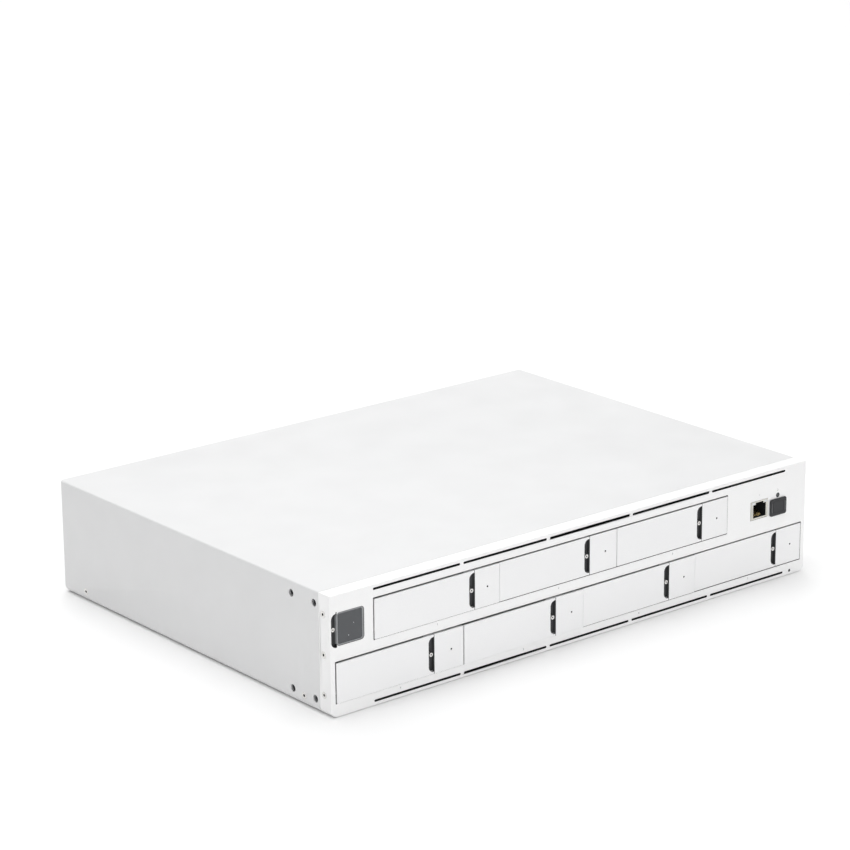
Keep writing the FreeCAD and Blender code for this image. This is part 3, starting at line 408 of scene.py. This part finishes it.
finishes = {
    "cover": coatedSheet("coverCoat", (0.755, 0.757, 0.76), 0.46, 1300, 0.00008),
    "bezel": blastedAluminium("bezelAluminium", (0.925, 0.925, 0.925), 0.22, 0.4),
    "face": blastedAluminium("faceAluminium", (0.89, 0.89, 0.895), 0.25, 0.38),
    "zinc": zincSheet(),
    "screw": brushedMetal("turnedSteel", (0.8, 0.79, 0.77), 0.25, (900, 900, 900)),
    "sink": brushedMetal("extrudedAluminium", (0.78, 0.79, 0.8), 0.32, (2500, 20, 2500)),
    "dark": mouldedPlastic("darkPlastic", (0.026, 0.027, 0.03), 0.5),
    "latch": mouldedPlastic("latchPlastic", (0.075, 0.077, 0.08), 0.45),
    "black": mouldedPlastic("blackPlastic", (0.02, 0.02, 0.022), 0.42, 1000),
    "board": circuitBoard(),
    "screen": smokedGlass(),
    "frame": mouldedPlastic("framePlastic", (0.3, 0.31, 0.32), 0.3, 2400, 0.00001),
    "ivory": mouldedPlastic("jackShell", (0.72, 0.7, 0.64), 0.35, 1800, 0.00002),
    "gold": brushedMetal("contactGold", (0.83, 0.62, 0.28), 0.22, (1500, 40, 1500), 0.00001),
    "pipe": clearPipe(),
    "ink": markInk(),
    # near-black painted shade for holes, sockets and recesses
    "paintedShadow": mouldedPlastic("deepShadow", (0.006, 0.006, 0.007), 0.8),
    # black coat used as painted shade, for the bezel's inside and the drive cage seen through the
    # gaps
    "paintedShadeSheet": coatedSheet("paintedShadeCoat", (0.02, 0.02, 0.022), 0.6, 1500, 0.00004),
    # dark steel as painted shade inside the rack-ear holes
    "shadedThread": brushedMetal("shadedThreadSteel", (0.2, 0.2, 0.21), 0.4, (60, 2400, 2400)),
    "brass": brushedMetal("pinBrass", (0.72, 0.62, 0.4), 0.24, (1500, 60, 1500), 0.00001),
    "rubber": mouldedPlastic("grommetRubber", (0.03, 0.03, 0.032), 0.75, 900, 0.00005),
    "lens": mouldedPlastic("lampLens", (0.66, 0.68, 0.7), 0.25, 2600, 0.00001),
    "label": mouldedPlastic("labelFoil", (0.62, 0.63, 0.64), 0.4, 3000, 0.00001),
}

# which finish each packed slot takes; trays and their levers share the face's
slotFinish = {
    "cover_white": "cover", "bezel_aluminium": "face", "chassis_steel": "zinc",
    "screw_steel": "screw", "dark_plastic": "dark", "board_green": "board",
    "component_black": "black", "sink_aluminium": "sink", "screen_glass": "screen",
    "frame_grey": "frame", "jack_shell": "ivory", "pipe_clear": "pipe",
}
slotOf = {part["node"]: part["material_slot"] for part in frame["record"]["subparts"]}
for nodeName, item in frame["nodes"].items():
    item.data.materials.clear()
    item.data.materials.append(finishes[slotFinish[slotOf[nodeName]]])
print("stage: materials")

# ways to make and finish a mesh

recess = {"radius": 0.0006, "skin": 0.0001, "sideBand": 0.006}

def bodyOf(node):
    return frame["nodes"][node]["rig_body"]


def finishPiece(item, node, angle=32):
    # smooth where the surface bends gently, and ride where the node it belongs to rides
    mesh = item.data
    mesh.polygons.foreach_set("use_smooth", [True] * len(mesh.polygons))
    mesh.set_sharp_from_angle(angle=math.radians(angle))
    if item.name not in bpy.context.scene.collection.objects:
        bpy.context.scene.collection.objects.link(item)
    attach(item, bodyOf(node))
    return item


def newPiece(name, points, faces, material, node, angle=32):
    mesh = bpy.data.meshes.new(name)
    mesh.from_pydata(np.asarray(points, float).reshape(-1, 3).tolist(), [], faces)
    mesh.validate()
    mesh.materials.append(finishes[material])
    return finishPiece(bpy.data.objects.new(name, mesh), node, angle)


def softened(node, width, material=None, angle=38, segments=2, clamp=False):
    # a copy of a sheet or machined part whose sharp edges are eased by a small round
    source = frame["nodes"][node]
    mesh = source.data.copy()
    shape = bmesh.new()
    shape.from_mesh(mesh)
    bmesh.ops.remove_doubles(shape, verts=shape.verts, dist=1e-6)
    bmesh.ops.dissolve_limit(shape, angle_limit=math.radians(0.6), verts=shape.verts,
                             edges=shape.edges)
    shape.to_mesh(mesh)
    shape.free()
    item = bpy.data.objects.new(node + "_eased", mesh)
    if material:
        mesh.materials.clear()
        mesh.materials.append(finishes[material])
    bpy.context.scene.collection.objects.link(item)
    ease = item.modifiers.new("ease", "BEVEL")
    ease.width, ease.segments = width, segments
    ease.limit_method, ease.angle_limit = "ANGLE", math.radians(angle)
    ease.use_clamp_overlap = clamp
    ease.harden_normals = True
    finishPiece(item, node, angle=angle)
    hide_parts(node)
    return item


def paintWhere(item, finish, rule):
    # gives a second finish to the faces whose middle the rule accepts
    mesh = item.data
    mesh.materials.append(finishes[finish])
    count = len(mesh.polygons)
    middles, current = np.zeros(count * 3, np.float32), np.zeros(count, np.int32)
    mesh.polygons.foreach_get("center", middles)
    mesh.polygons.foreach_get("material_index", current)
    current[rule(*middles.astype(float).reshape(-1, 3).T)] = len(mesh.materials) - 1
    mesh.polygons.foreach_set("material_index", current)


def darkRecess(screw, x, z, start, deep):
    # paints the driver's recess in a screw's head near-black as painted shade, on its axis and
    # behind its front at y = start
    paintWhere(screw, "paintedShadow", lambda px, py, pz: (
        (np.hypot(px - x, pz - z) < recess["radius"]) & (py > start + recess["skin"])
        & (py < start + deep)))


def splitLevel(item, levels, rule):
    # cuts the faces that the rule accepts along level planes, so part of one can be painted
    shape = bmesh.new()
    shape.from_mesh(item.data)
    for level in levels:
        faces = [face for face in shape.faces if rule(face.calc_center_median())]
        edges = {edge for face in faces for edge in face.edges}
        corners = {corner for face in faces for corner in face.verts}
        bmesh.ops.bisect_plane(shape, geom=faces + list(edges) + list(corners),
                               plane_co=(0, 0, level), plane_no=(0, 0, 1))
    shape.to_mesh(item.data)
    shape.free()


def paintSockets(item, finish, radius, skin):
    # darkens each screw's recess with painted shade: the faces close to its own axis and below its
    # outer skin
    shape = bmesh.new()
    shape.from_mesh(item.data)
    item.data.materials.append(finishes[finish])
    index, left = len(item.data.materials) - 1, set(shape.faces)
    corners = np.zeros(len(item.data.vertices) * 3, np.float32)
    item.data.vertices.foreach_get("co", corners)
    wide = float(np.abs(corners[::3]).max())
    while left:
        island, edge = set(), [left.pop()]
        while edge:
            face = edge.pop()
            island.add(face)
            beside = {other for side in face.edges for other in side.link_faces} - island
            edge += [other for other in beside if other in left]
            left -= beside
        spots = np.array([face.calc_center_median() for face in island])
        low, high = spots.min(0), spots.max(0)
        middle = (low + high) / 2
        sideways = abs(middle[0]) > wide - recess["sideBand"]
        outer = max(abs(low[0]), abs(high[0])) if sideways else high[1]
        for face in island:
            spot = np.array(face.calc_center_median())
            offset = spot - middle
            reach = math.hypot(offset[1 if sideways else 0], offset[2])
            if reach < radius and outer - (abs(spot[0]) if sideways else spot[1]) > skin:
                face.material_index = index
    shape.to_mesh(item.data)
    shape.free()


def digitMark(name, text, x, z, height, node, plane):
    # a printed figure, laid flat on the front plane, its middle at x, z
    curve = bpy.data.curves.new(name, "FONT")
    curve.body, curve.size = text, height / 0.7
    curve.align_x, curve.align_y = "CENTER", "CENTER"
    holder = bpy.data.objects.new(name + "Text", curve)
    bpy.context.scene.collection.objects.link(holder)
    graph = bpy.context.evaluated_depsgraph_get()
    mesh = bpy.data.meshes.new_from_object(holder.evaluated_get(graph))
    bpy.data.objects.remove(holder)
    mesh.transform(Matrix.Translation((x, plane, z)) @ Matrix.Rotation(math.pi / 2, 4, "X"))
    mesh.materials.clear()
    mesh.materials.append(finishes["ink"])
    mesh.name = name
    return finishPiece(bpy.data.objects.new(name, mesh), node)


def gridFaces(rows, columns, wrapRows=False, wrapColumns=False):
    # four neighbours of a grid of points make each face, joined round where asked
    row, column = np.meshgrid(np.arange(rows if wrapRows else rows - 1),
                              np.arange(columns if wrapColumns else columns - 1), indexing="ij")
    nextRow, nextColumn = (row + 1) % rows, (column + 1) % columns
    return np.stack([row * columns + column, row * columns + nextColumn,
                     nextRow * columns + nextColumn, nextRow * columns + column],
                    -1).reshape(-1, 4)


def manyFaces(faces, count, size):
    # the same faces again for each of count copies, each copy being size points long
    return (faces[None] + np.arange(count)[:, None, None] * size).reshape(-1, faces.shape[1])


def outward(item):
    # welds the poles and turns every face to the outside
    shape = bmesh.new()
    shape.from_mesh(item.data)
    bmesh.ops.remove_doubles(shape, verts=shape.verts, dist=1e-7)
    bmesh.ops.recalc_face_normals(shape, faces=shape.faces)
    shape.to_mesh(item.data)
    shape.free()
    return item


def roundedPath(width, height, radius, steps=6):
    # a rounded rectangle: four corner centres, each plus radius times the turning direction
    angle = (np.arange(4)[:, None] * math.pi / 2
             + np.linspace(0, math.pi / 2, steps + 1)[None]).ravel()
    normal = np.stack([np.cos(angle), np.sin(angle)], -1)
    corner = np.repeat([(1, 1), (-1, 1), (-1, -1), (1, -1)], steps + 1, axis=0)
    return corner * (width / 2 - radius, height / 2 - radius) + radius * normal, normal


def roundPath(radius, steps=32):
    angle = np.arange(steps) * 2 * math.pi / steps
    normal = np.stack([np.cos(angle), np.sin(angle)], -1)
    return normal * radius, normal


def profileRing(name, path, profile, centre, material, node, closed=False):
    # a profile of (outward, deep) steps carried round a path in the x, z plane: the point is
    # the path's point, plus outward along its normal, plus deep along y from the centre
    (spot, normal), steps = path, np.asarray(profile, float)
    across = spot[None] + normal[None] * steps[:, 0, None, None]
    points = np.stack([centre[0] + across[..., 0],
                       np.broadcast_to(centre[1] + steps[:, 1, None], across.shape[:2]),
                       centre[2] + across[..., 1]], -1)
    count = len(spot)
    faces = gridFaces(len(steps), count, closed, True).tolist()
    if not closed:
        faces += [list(range(count)), list(range((len(steps) - 1) * count, len(steps) * count))]
    return outward(newPiece(name, points, faces, material, node))


def tubes(name, paths, radius, material, node, sides=6):
    # a round section carried along each path: two directions square to the path, times the
    # cosine and sine of the turn round it; paths is copies by points by x, y, z
    paths = np.asarray(paths, float)
    along = np.gradient(paths, axis=1)
    along /= np.linalg.norm(along, axis=2, keepdims=True)
    aside = np.cross(along, (0.31, 0.17, 0.94))
    aside /= np.linalg.norm(aside, axis=2, keepdims=True)
    above = np.cross(along, aside)
    turn = np.arange(sides) * 2 * math.pi / sides
    points = (paths[:, :, None] + radius * (aside[:, :, None] * np.cos(turn)[:, None]
                                            + above[:, :, None] * np.sin(turn)[:, None]))
    copies, length = paths.shape[:2]
    size = length * sides
    faces = manyFaces(gridFaces(length, sides, False, True), copies, size).tolist()
    for copy in range(copies):
        faces += [list(range(copy * size, copy * size + sides)),
                  list(range((copy + 1) * size - sides, (copy + 1) * size))]
    return outward(newPiece(name, points, faces, material, node))


def plates(name, lows, highs, material, node, width=0.0):
    # flat-sided blocks, one for each pair of corners: every mix of low and high on the axes
    lows, highs = np.asarray(lows, float), np.asarray(highs, float)
    pick = np.array([(i, j, k) for i in (0, 1) for j in (0, 1) for k in (0, 1)])
    points = lows[:, None] * (1 - pick) + highs[:, None] * pick
    sides = np.array([(0, 1, 3, 2), (4, 6, 7, 5), (0, 4, 5, 1), (2, 3, 7, 6), (0, 2, 6, 4),
                      (1, 5, 7, 3)])
    item = outward(newPiece(name, points, manyFaces(sides, len(lows), 8).tolist(), material,
                            node))
    if width:
        ease = item.modifiers.new("ease", "BEVEL")
        ease.width, ease.segments = width, 2
    return item


# the casing

bezelLow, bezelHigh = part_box("front_bezel")
front = bezelLow.y
half, top = bezelHigh.x, bezelHigh.z
casingLook = {"bezelEase": 0.0004, "coverEase": 0.0002, "sheetEase": 0.0002, "skin": 0.0003,
              "cornerRound": 0.005, "cornerWall": 0.0008, "nutEase": 0.0001,
              "screwEase": 0.00012, "socketSkin": 0.00015,
              "sockets": {"bezel_screws": 0.0009, "case_screws": 0.0011}}


def casingDetail():
    skin, rim = casingLook["skin"], bezelHigh.y - 0.0001
    bezel = softened("front_bezel", casingLook["bezelEase"], "bezel")
    # everything behind the bezel's outer skin is painted black as painted shade: slot walls and
    # the inside, but not the two rounded lower corners, whose skin lies on a circle about their
    # centre
    bend, wall = casingLook["cornerRound"], casingLook["cornerWall"]

    def hidden(x, y, z):
        aside, under = np.abs(x) - (half - bend), bend - z
        onBend = (aside > 0) & (under > 0) & (np.hypot(aside, under) > bend - wall)
        return ((y > front + skin) & (y < rim) & (np.abs(x) < half - skin) & (z > skin)
                & (z < top - skin) & ~onBend)

    paintWhere(bezel, "paintedShadeSheet", hidden)
    softened("outer_cover", casingLook["coverEase"], "cover")
    softened("base_pan", casingLook["sheetEase"])
    softened("rear_panel", casingLook["sheetEase"])
    # the rack-ear nuts are made dark as painted shade inside their threaded holes
    softened("rack_ear_nuts", casingLook["nutEase"], "shadedThread")
    # the drive cage is painted black as painted shade, so the gaps in front of it read dark
    softened("drive_cage", casingLook["sheetEase"], "paintedShadeSheet")
    for screws, radius in casingLook["sockets"].items():
        paintSockets(softened(screws, casingLook["screwEase"]), "paintedShadow", radius,
                     casingLook["socketSkin"])


casingDetail()
print("stage: casing")

# the display, the pocket beside it and its screw

displayLook = {"lip": 0.00028, "beadInset": 0.0012, "beadRound": 0.0018, "dot": 0.00032,
               "dots": ((0.0031, 0.0016), (-0.0012, -0.0062)), "ease": 0.0002,
               "smallEase": 0.0001, "recessDeep": 0.0011}


def displayDetail():
    low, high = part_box("display_screen")
    houseLow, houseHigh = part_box("display_housing")
    middle = ((low.x + high.x) / 2, low.y, (low.z + high.z) / 2)
    softened("display_housing", displayLook["ease"])
    softened("display_slot_insert", displayLook["smallEase"])
    screw = softened("display_screw", displayLook["smallEase"], "screw")
    screwLow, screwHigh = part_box("display_screw")
    darkRecess(screw, (screwLow.x + screwHigh.x) / 2, middle[2], screwLow.y,
               displayLook["recessDeep"])
    lip = displayLook["lip"]        # a half-round bead on the housing's front edge
    turn = np.linspace(0, math.pi, 7)
    bead = np.stack([lip * np.cos(turn), -lip * np.sin(turn)], -1)
    wide, tall = houseHigh.x - houseLow.x, houseHigh.z - houseLow.z
    inset = displayLook["beadInset"]
    profileRing("display_bead",
                roundedPath(wide - inset, tall - inset, displayLook["beadRound"]), bead,
                (middle[0], houseLow.y + 0.00002, middle[2]), "frame", "display_housing",
                closed=True)
    for count, (x, z) in enumerate(displayLook["dots"]):
        profileRing(f"display_dot_{count}", roundPath(displayLook["dot"], 16),
                    [(0, 0.00001), (0, -0.00004), (-0.0001, -0.00006)],
                    (middle[0] + x, low.y, middle[2] + z), "lens", "display_screen")


displayDetail()
print("stage: display")

# the network socket, the plugged fibre port, their marks and the reset button

portLook = {"pitch": 0.00102, "wire": 0.00018, "wireReach": (0.0025, 0.0125), "wireLift": 0.0012,
            "wireRise": 0.0042, "shell": 0.0006, "shellBack": 0.001, "insideHalf": 0.0066,
            "window": (0.0026, 0.0017), "windowAside": 0.0062, "windowDrop": 0.0014,
            "grip": (0.0104, 0.0082), "rib": (0.0011, 0.0074), "ribAside": 0.0066,
            "lampRing": 0.0016, "markHeight": 0.0015, "markRise": 0.0042}


def portDetail():
    low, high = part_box("network_jack")
    middleX = (low.x + high.x) / 2
    jack = softened("network_jack", 0.00022, "ivory")
    shell = portLook["shell"]
    # the socket's inside is painted near-black as painted shade
    paintWhere(jack, "paintedShadow", lambda x, y, z: (
        (y > low.y + shell) & (y < high.y - portLook["shellBack"])
        & (np.abs(x - middleX) < portLook["insideHalf"]) & (z > low.z + shell)
        & (z < high.z - shell)))
    # eight sprung wires rise from the floor of the socket towards its back
    deep = np.linspace(*portLook["wireReach"], 12)
    bend = np.sin(np.linspace(0, math.pi * 0.62, 12))
    rise = portLook["wireLift"] + portLook["wireRise"] * bend
    across = middleX + (np.arange(8) - 3.5) * portLook["pitch"]
    wires = np.stack(np.broadcast_arrays(across[:, None], (low.y + deep)[None],
                                         (low.z + 0.0004 + rise)[None]), -1)
    tubes("jack_contacts", wires, portLook["wire"], "gold", "network_jack")
    wide, tall = portLook["window"]
    for side in (-1, 1):            # lamp windows in the upper corners of the shell
        profileRing(f"jack_window_{(side + 1) // 2}", roundedPath(wide, tall, 0.0003, 3),
                    [(0, 0.0004), (0, -0.00002), (-0.00012, -0.00014)],
                    (middleX + side * portLook["windowAside"], low.y,
                     high.z - portLook["windowDrop"]), "lens", "network_jack")
    plugLow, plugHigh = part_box("sfp_plug")
    plugX, plugZ = (plugLow.x + plugHigh.x) / 2, (plugLow.z + plugHigh.z) / 2
    softened("sfp_plug", 0.0005, "dark", segments=3)
    # a shallow dished grip in the plug's face, and its two raised side ribs, whose lighter plastic
    # is a painted highlight on the plug's side facets
    profileRing("plug_grip", roundedPath(*portLook["grip"], 0.0014), [
        (0.0004, 0.0001), (0.0003, -0.00018), (0.0, -0.0002), (-0.0006, 0.00002)],
        (plugX, plugLow.y, plugZ), "black", "sfp_plug")
    for side in (-1, 1):
        profileRing(f"plug_rib_{(side + 1) // 2}", roundedPath(*portLook["rib"], 0.0005, 4),
                    [(0, 0.0001), (0, -0.00008), (-0.0002, -0.00015)],
                    (plugX + side * portLook["ribAside"], plugLow.y, plugZ), "latch",
                    "sfp_plug")
    pipeLow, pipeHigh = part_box("light_pipes")
    lampX, lampZ = (pipeLow.x + pipeHigh.x) / 2, (pipeLow.z + pipeHigh.z) / 2
    profileRing("lamp_ring", roundPath(portLook["lampRing"], 28),
                [(0.0002, 0.0001), (0.0002, -0.00006), (-0.0001, -0.00016), (-0.0002, 0.0001)],
                (lampX, front, lampZ), "dark", "light_pipes", closed=True)
    for text, x, z in (("1", middleX, high.z + portLook["markRise"]),
                       ("2", lampX, lampZ + portLook["markRise"] - 0.0002)):
        digitMark(f"port_mark_{text}", text, x, z, portLook["markHeight"], "front_bezel",
                  front - 0.00003)
    softened("reset_button", 0.00015)


portDetail()
print("stage: ports")

# the trays

trayLook = {
    "ease": 0.00022, "latchEase": 0.0002, "lockEase": 0.00012, "skin": 0.0002,
    # half the notch's width and height, half of the carrier's edge beside it, how deep it is
    "notchWide": 0.0029, "notchTall": 0.0129, "edgeTall": 0.0124, "edgeThick": 0.0006,
    "linerDeep": 0.0035, "faceDeep": 0.004, "lockRecess": 0.0014,
    "lampFromRight": 0.0107, "lampHole": 0.0007, "markHeight": 0.0015, "markDrop": 0.0026,
    "springTurns": 7, "springRadius": 0.0009, "springWire": 0.00014, "springGap": 0.0002,
    "springLength": 0.0042, "springDeep": 0.0021, "springRise": 0.0085,
    "ringRadius": 0.0026, "ringAside": 0.0476, "ringLift": 0.0014, "ringDeep": (0.055, 0.099),
}


def notchLine(carrier, lever, tray):
    # the walls of the notch, and the carrier's edge that closes it, are painted in dark latch
    # plastic as painted shade in the notch
    low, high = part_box(tray + "_lever")
    lockLow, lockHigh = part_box(tray + "_lock")
    middleX, middleZ = (lockLow.x + lockHigh.x) / 2, (lockLow.z + lockHigh.z) / 2
    start, end = low.y + trayLook["skin"], low.y + trayLook["linerDeep"]
    for item in (carrier, lever):
        paintWhere(item, "latch", lambda x, y, z: (
            (np.abs(x - middleX) < trayLook["notchWide"])
            & (np.abs(z - middleZ) < trayLook["notchTall"]) & (y > start) & (y < end)))
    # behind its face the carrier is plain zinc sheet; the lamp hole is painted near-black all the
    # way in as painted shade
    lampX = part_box(tray)[1].x - trayLook["lampFromRight"]
    paintWhere(carrier, "zinc", lambda x, y, z: y > low.y + trayLook["faceDeep"])
    paintWhere(carrier, "paintedShadow", lambda x, y, z: (
        (np.hypot(x - lampX, z - middleZ) < trayLook["lampHole"]) & (y > start)))
    # only the stretch of the carrier's wall beside the notch gets the painted shade
    reach, far = trayLook["edgeTall"], high.x + trayLook["edgeThick"]
    splitLevel(carrier, (middleZ - reach, middleZ + reach),
               lambda spot: high.x < spot.x < far and start < spot.y < end)
    paintWhere(carrier, "latch", lambda x, y, z: (
        (x > high.x) & (x < far) & (np.abs(z - middleZ) < reach) & (y > start) & (y < end)))


def trayInside(number):
    # eased latch and lock, a coil spring beside the latch and rubber rings in the floor
    tray = f"tray_{number}"
    low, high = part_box(tray)
    latchLow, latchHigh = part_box(tray + "_latch")
    softened(f"{tray}_latch", trayLook["latchEase"], "latch")
    lock = softened(f"{tray}_lock", trayLook["lockEase"], "screw")
    lockLow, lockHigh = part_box(tray + "_lock")
    x, z = (lockLow.x + lockHigh.x) / 2, (lockLow.z + lockHigh.z) / 2
    darkRecess(lock, x, z, lockLow.y, trayLook["lockRecess"])
    # the coil: a circle in the y, z plane that moves along x as it turns
    turn = np.linspace(0, trayLook["springTurns"] * 2 * math.pi, trayLook["springTurns"] * 14)
    coil = np.stack([
        latchHigh.x + trayLook["springGap"] + turn / turn[-1] * trayLook["springLength"],
        latchLow.y + trayLook["springDeep"] + trayLook["springRadius"] * np.cos(turn),
        z + trayLook["springRise"] + trayLook["springRadius"] * np.sin(turn)], -1)
    spring = tubes(f"{tray}_spring", coil[None], trayLook["springWire"], "screw", tray, sides=5)
    # the coil is taken off the tray's body and left where it was made
    spring.parent = None
    spring.matrix_world = Matrix.Identity(4)
    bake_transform(spring)
    middleX = (low.x + high.x) / 2
    for side in (-1, 1):
        for count, deep in enumerate(trayLook["ringDeep"]):
            item = profileRing(f"{tray}_grommet_{(side + 1) // 2}_{count}",
                               roundPath(trayLook["ringRadius"], 20),
                               [(0.0002, 0.0), (0.0002, 0.0008), (-0.0005, 0.0012),
                                (-0.0009, 0.0008), (-0.0009, 0.0)], (0, 0, 0), "rubber", tray,
                               closed=True)
            # the ring is made facing y, then turned to stand on the tray's floor
            spot = (middleX + side * trayLook["ringAside"], low.y + deep,
                    low.z + trayLook["ringLift"])
            item.data.transform(Matrix.Translation(spot) @ Matrix.Rotation(math.pi / 2, 4, "X"))


for number in range(1, 8):
    tray = f"tray_{number}"
    notchLine(softened(tray, trayLook["ease"], "face"),
              softened(f"{tray}_lever", trayLook["ease"], "face"), tray)
    low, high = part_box(tray + "_lever")
    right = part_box(tray)[1].x
    trayInside(number)
    digitMark(f"bay_mark_{number}", str(number), (low.x + right) / 2,
              low.z - 0.0005 - trayLook["markDrop"], trayLook["markHeight"], "front_bezel",
              front - 0.00003)
print("stage: trays")

# the fans

fanLook = {"blades": 7, "chord": 0.021, "tip": 0.0268, "hub": 0.0142, "pitch": 33, "lean": 0.42,
           "thick": 0.0011, "camber": 0.0016, "ease": 0.0003, "root": 0.0006, "halfDeep": 0.0085,
           "stations": 12, "corners": 14}


def fanDetail(number):
    node = f"fan_rotor_{number}"
    low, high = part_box(node)
    middle = np.array([(low.x + high.x) / 2, (low.y + high.y) / 2, (low.z + high.z) / 2])
    tip = min(fanLook["tip"], (high.x - low.x) / 2, (high.z - low.z) / 2)
    hub, pitch = fanLook["hub"], math.radians(fanLook["pitch"])
    # a blade section is a flattened oval of the turn t: along the chord cos t, across it sin t
    # times the thickness, bowed by the camber; stations run from hub to tip and lean with s
    stations, corners = fanLook["stations"], fanLook["corners"]
    turn = np.arange(corners) * 2 * math.pi / corners
    station = np.linspace(0, 1, stations)
    root = fanLook["root"]
    reach = hub - root + station * (tip - hub + root)
    chord = fanLook["chord"] * (0.78 + 0.3 * station - 0.12 * station ** 2) / 2
    alongChord = chord[:, None] * np.cos(turn)
    bow = fanLook["camber"] * (1 - np.cos(turn) ** 2)[None]
    across = fanLook["thick"] / 2 * np.sin(turn)[None] + bow
    twist = pitch * (1.12 - 0.24 * station)[:, None]
    around = alongChord * np.cos(twist) - across * np.sin(twist)
    deep = alongChord * np.sin(twist) + across * np.cos(twist)
    deep = np.clip(deep, -fanLook["halfDeep"], fanLook["halfDeep"])
    angle = around / reach[:, None] + fanLook["lean"] * station[:, None] ** 1.5
    spin = np.arange(fanLook["blades"]) * 2 * math.pi / fanLook["blades"]
    angle = angle[None] + spin[:, None, None]
    radius = np.broadcast_to(reach[None, :, None], angle.shape)
    points = np.stack([middle[0] + radius * np.cos(angle),
                       middle[1] + np.broadcast_to(deep[None], angle.shape),
                       middle[2] + radius * np.sin(angle)], -1)
    size = stations * corners
    faces = manyFaces(gridFaces(stations, corners, False, True), fanLook["blades"],
                      size).tolist()
    for blade in range(fanLook["blades"]):
        faces += [list(range(blade * size, blade * size + corners)),
                  list(range((blade + 1) * size - corners, (blade + 1) * size))]
    outward(newPiece(f"fan_blades_{number}", points, faces, "black", node, angle=50))
    # the hub is a cup with a rounded front and a shallow ring where its label would sit
    length = (high.y - low.y) / 2
    rotor = profileRing(f"fan_hub_{number}", roundPath(hub, 40), [
        (-0.0125, -length + 0.0006), (-0.004, -length + 0.0006), (-0.0038, -length + 0.0002),
        (-0.0016, -length + 0.0002), (-0.0005, -length + 0.0007), (0, -length + 0.0018),
        (0, length - 0.0012), (-0.0006, length - 0.0002), (-0.0035, length),
        (-0.0036, length - 0.0003), (-0.0104, length - 0.0003)], tuple(middle), "black", node)
    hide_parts(node)


softened("fan_frames", fanLook["ease"])
for fan in (1, 2, 3):
    fanDetail(fan)
print("stage: fans")

# the power supply and its rear face

supplyLook = {"ease": 0.0003, "latchEase": 0.0005, "inletEase": 0.0004, "foilWide": 0.052,
              "foilTall": 0.03, "foilRadius": 0.0012, "foilDeep": 0.05, "pinsWide": 0.0086,
              "pinsTall": 0.0045, "pinsFront": 0.0045, "pinsBack": 0.0015}


def supplyDetail():
    softened("power_supply", supplyLook["ease"])
    softened("power_supply_handle", supplyLook["ease"], "screw", clamp=True)
    softened("power_supply_latch", supplyLook["latchEase"], "dark", segments=3)
    low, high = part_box("mains_inlet")
    inlet = softened("mains_inlet", supplyLook["inletEase"], "black")
    middleX, middleZ = (low.x + high.x) / 2, (low.z + high.z) / 2
    # the three pins stand inside the shroud, well clear of its walls
    paintWhere(inlet, "brass", lambda x, y, z: (
        (np.abs(x - middleX) < supplyLook["pinsWide"])
        & (np.abs(z - middleZ) < supplyLook["pinsTall"]) & (y > low.y + supplyLook["pinsFront"])
        & (y < high.y - supplyLook["pinsBack"])))
    boxLow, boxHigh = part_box("power_supply")
    # a blank foil on the supply's top, as such units carry
    outline = roundedPath(supplyLook["foilWide"], supplyLook["foilTall"],
                          supplyLook["foilRadius"], 4)
    foil = profileRing("supply_foil", outline, [(0, 0.0), (0, -0.00012)], (0, 0, 0), "label",
                       "power_supply")
    spot = ((boxLow.x + boxHigh.x) / 2, boxLow.y + supplyLook["foilDeep"], boxHigh.z)
    foil.data.transform(Matrix.Translation(spot) @ Matrix.Rotation(-math.pi / 2, 4, "X"))


supplyDetail()
print("stage: power supply")

# the boards, the connectors and what stands on them

boardLook = {"ease": 0.0002, "contact": 0.00045, "contactPitch": 0.00127,
             "connectorAside": 0.014, "chipEase": 0.00008, "chipRows": (16, 5)}


def boardDetail():
    for node in ("heat_sink", "board_components", "board_standoffs", "sfp_cage",
                 "drive_connectors", "light_pipes"):
        softened(node, boardLook["ease"])
    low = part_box("drive_connectors")[0]
    # a row of gilt tongues in each receptacle, seven signal and fifteen power
    start = np.concatenate([np.arange(7) - 3.0 - 9.45, np.arange(15) - 7.0 + 5.5])
    count, lows, highs = start.size, [], []
    for number in range(1, 8):
        trayLow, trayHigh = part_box(f"tray_{number}")
        bay = (trayLow.x + trayHigh.x) / 2 - boardLook["connectorAside"]
        x = bay + start * boardLook["contactPitch"]
        z = trayLow.z - 0.0005 + 0.006
        wide = boardLook["contact"] / 2
        lows.append(np.stack([x - wide, np.full(count, low.y + 0.0006),
                              np.full(count, z - 0.0007)], -1))
        highs.append(np.stack([x + wide, np.full(count, low.y + 0.0040),
                               np.full(count, z - 0.0004)], -1))
    plates("drive_contacts", np.concatenate(lows), np.concatenate(highs), "gold",
           "drive_connectors")
    boardLow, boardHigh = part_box("main_board")
    # small surface parts in rows across the clear part of the board
    column, row = np.meshgrid(*map(np.arange, boardLook["chipRows"]), indexing="ij")
    x = boardLow.x + 0.012 + column.ravel() * 0.0046
    y = boardLow.y + 0.03 + row.ravel() * 0.0125
    length = np.where((column + row).ravel() % 3 == 0, 0.0013, 0.0008)
    z = np.full(x.size, boardHigh.z)
    plates("board_chips", np.stack([x - length, y - 0.0005, z], -1),
           np.stack([x + length, y + 0.0005, z + 0.0007], -1), "ivory", "main_board",
           boardLook["chipEase"])


boardDetail()
print("stage: boards")
